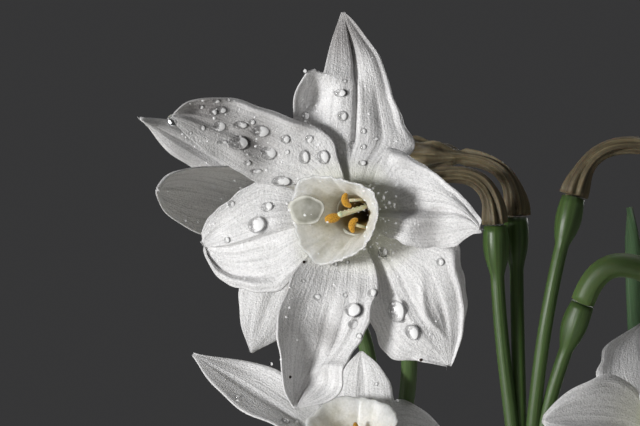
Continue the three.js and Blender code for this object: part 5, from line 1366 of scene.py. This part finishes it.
def buildDrops(whitePieces, otherPieces):
    tree = meshTree(whitePieces)
    eye = Vector((view["x"], view["y"], view["z"])) * millimetre
    perDot = view["sensor"] / view["lens"] / view["width"]

    def sight(across, down):
        # the way from the eye to a dot of the view
        return Vector(((across - view["width"] / 2) * perDot, 1, (view["height"] / 2 - down) * perDot)).normalized()

    found = []
    for across, down, halfWide, halfHigh in drops["seen"]:
        ray = sight(across, down)
        hit, normal, _, far = tree.ray_cast(eye, ray)
        if hit is None:
            near = tree.find_nearest(eye + ray * frontBloom["viewDistance"] * millimetre)
            normal, far = -ray, (near[0] - eye).length
            hit = eye + ray * (far - 0.2 * millimetre)
        if normal.dot(ray) > 0:
            normal = -normal
        slope = max(0.45, abs(normal.dot(ray)))
        size = far * perDot / millimetre
        found.append([*(hit / millimetre), *normal, halfWide * size / slope ** 0.5, halfHigh * size / slope ** 0.5])
    shapes = dropsOn(np.array(found), drops["rise"], 10, 32)
    draw = np.random.default_rng(77)
    tiny = []
    while len(tiny) < drops["tiny"]:
        left, high, wide, tall = drops["tinyFields"][len(tiny) % len(drops["tinyFields"])]
        across, down = left + draw.uniform() * wide, high + draw.uniform() * tall
        ray = sight(across, down)
        hit, normal, _, _ = tree.ray_cast(eye, ray)
        if hit is not None:
            size = mix(drops["tinySmallest"], drops["tinyLargest"], draw.uniform() ** 2.5)
            tiny.append([*(hit / millimetre), *(normal if normal.dot(ray) < 0 else -normal), size, size])
    shapes.extend(dropsOn(np.array(tiny), drops["tinyRise"], 4, 9, 0.8))
    makePiece("waterOnFrontBlooms", shapes, [water], [])
    ray = sight(*drops["hanging"])
    near = tree.find_nearest(eye + ray * frontBloom["viewDistance"] * millimetre)[0]
    middle = (eye + ray * ((near - eye).length - 0.3 * millimetre)) / millimetre
    makePiece("hangingDrop", [ballShape(np.array([middle]), drops["hangingRadius"])], [clearWater], [])
    dirt = []
    for across, down in drops["dirt"]:
        ray = sight(across, down)
        dirt.append(tree.ray_cast(eye, ray)[0] / millimetre)
    makePiece("dirtSpecks", [ballShape(np.array(dirt), drops["dirtRadius"])], [compost], [])
    rest = []
    for piece in otherPieces:
        for _ in range(drops["others"]):
            face = piece.data.polygons[int(draw.integers(len(piece.data.polygons)))]
            normal = face.normal.copy()
            if normal.z > 0.1:
                size = draw.uniform(drops["othersSmallest"], drops["othersLargest"])
                rest.append([*(face.center / millimetre), *normal, size, size])
    makePiece("waterOnOtherBlooms", dropsOn(np.array(rest), drops["othersRise"], 6, 14), [water], [])


# The plant, piece by piece

buildPot()
buildSoil()
for i, place in enumerate(bulbPlaces):
    buildBulb(i + 1, place)
print("pot, soil and bulbs made")
for i, row in enumerate(leaves):
    buildLeaf(i + 1, *row)
print("leaves made")

counts = {"bloom": 0, "bud": 0, "spent": 0}
whitePieces = buildFrontBloom()
counts["bloom"] = 1
otherPieces = []
for number, umbel in enumerate(umbels, 1):
    top = np.array(umbel["top"], float)
    shapes = [scapeShape(umbel["foot"], top)]
    hung = [frontBloom] if number == 1 else []
    for one in umbel["blooms"]:
        counts["bloom"] += 1
        name = f"bloom_{counts['bloom']:02d}"
        piece = plainBloom(name, counts["bloom"], **one)
        (whitePieces if counts["bloom"] <= 4 else otherPieces).append(piece)
    for one in umbel["buds"]:
        counts["bud"] += 1
        buildBud(counts["bud"], **one)
    for one in umbel["spent"]:
        counts["spent"] += 1
        buildSpent(counts["spent"], **one)
    for one in hung + umbel["blooms"] + umbel["buds"] + umbel["spent"]:
        shapes.append(pedicelShape(top, np.array(one["at"], float), axesOf(one["faces"])[2],
                                   unit(np.array(one["neck"], float))))
    makePiece(f"umbelStalks{number}", shapes, [stalkGreen], [f"scape_{number}"])
    buildSpathe(number, umbel["foot"], top, *umbel["spathe"])
closedTop = np.array(closedScape["top"], float)
makePiece("umbelStalks4", [scapeShape(closedScape["foot"], closedTop)], [stalkGreen], ["scape_4"])
buildClosedSpathe(closedTop)
print("umbels made")
buildDrops(whitePieces, otherPieces)
print("water drops made")


# Studio: pale floor, soft light, and the camera where the close-up was taken from

studio = {"floorRadius": 2.4, "world": "4A4A4B", "worldStrength": 0.55}


def buildFloor():
    material, tree, surface, place, _ = newMaterial("pale floor", Roughness=0.75)
    mottled = addNode(tree, "TexNoise", {"Vector": place, "Scale": 3.0, "Detail": 4.0, "Roughness": 0.55})
    tones = addNode(tree, "ValToRGB", {"Fac": mottled, "stops": [(0.3, "D3D1CC"), (0.7, "DEDCD8")]})
    height = addNode(tree, "TexNoise", {"Vector": place, "Scale": 900, "Detail": 2.0, "Roughness": 0.55})
    finished(tree, surface, tones, height, 0.05)
    turn = np.linspace(0, 2 * np.pi, 96, endpoint=False)
    radius = studio["floorRadius"] / millimetre
    mesh = bpy.data.meshes.new("floor")
    edge = np.stack([radius * np.cos(turn), radius * np.sin(turn), 0 * turn - 0.05], -1)
    mesh.from_pydata((edge * millimetre).tolist(), [], [list(range(96))])
    mesh.materials.append(material)
    floor = bpy.data.objects.new("floor", mesh)
    bpy.context.scene.collection.objects.link(floor)


def softLight(name, place, aim, size, power, colour):
    data = bpy.data.lights.new(name, "AREA")
    data.shape = "DISK"
    data.size = size
    data.energy = power
    data.color = linear(colour)[:3]
    lamp = bpy.data.objects.new(name, data)
    lamp.location = place
    lamp.rotation_euler = (Vector(aim) - Vector(place)).to_track_quat("-Z", "Y").to_euler()
    lamp.visible_camera = False
    bpy.context.scene.collection.objects.link(lamp)


buildFloor()
softLight("key", (-1.25, -0.96, 0.44), (0, 0, 0.36), 0.36, 22, "FFFFFF")
softLight("fill", (1.3, -1.2, 0.7), (0, 0, 0.25), 1.4, 1.2, "FFFFFF")
softLight("top", (0.1, 0.5, 1.7), (0, 0, 0.25), 1.2, 4, "FFFFFF")
softLight("back", (0.6, 1.5, 0.9), (0, 0, 0.3), 0.9, 5, "FFFFFF")

world = bpy.data.worlds.new("studio")
world.use_nodes = True
world.node_tree.nodes["Background"].inputs["Color"].default_value = linear(studio["world"])
world.node_tree.nodes["Background"].inputs["Strength"].default_value = studio["worldStrength"]
bpy.context.scene.world = world
bpy.context.scene.view_settings.view_transform = "Standard"

lens = bpy.data.cameras.new("closeUp")
lens.lens = view["lens"]
lens.sensor_width = view["sensor"]
lens.clip_start = 0.01
lens.clip_end = 50
camera = bpy.data.objects.new("closeUp", lens)
camera.location = Vector((view["x"], view["y"], view["z"])) * millimetre
camera.rotation_euler = (math.pi / 2, 0, 0)
bpy.context.scene.collection.objects.link(camera)
bpy.context.scene.camera = camera
print("studio made")
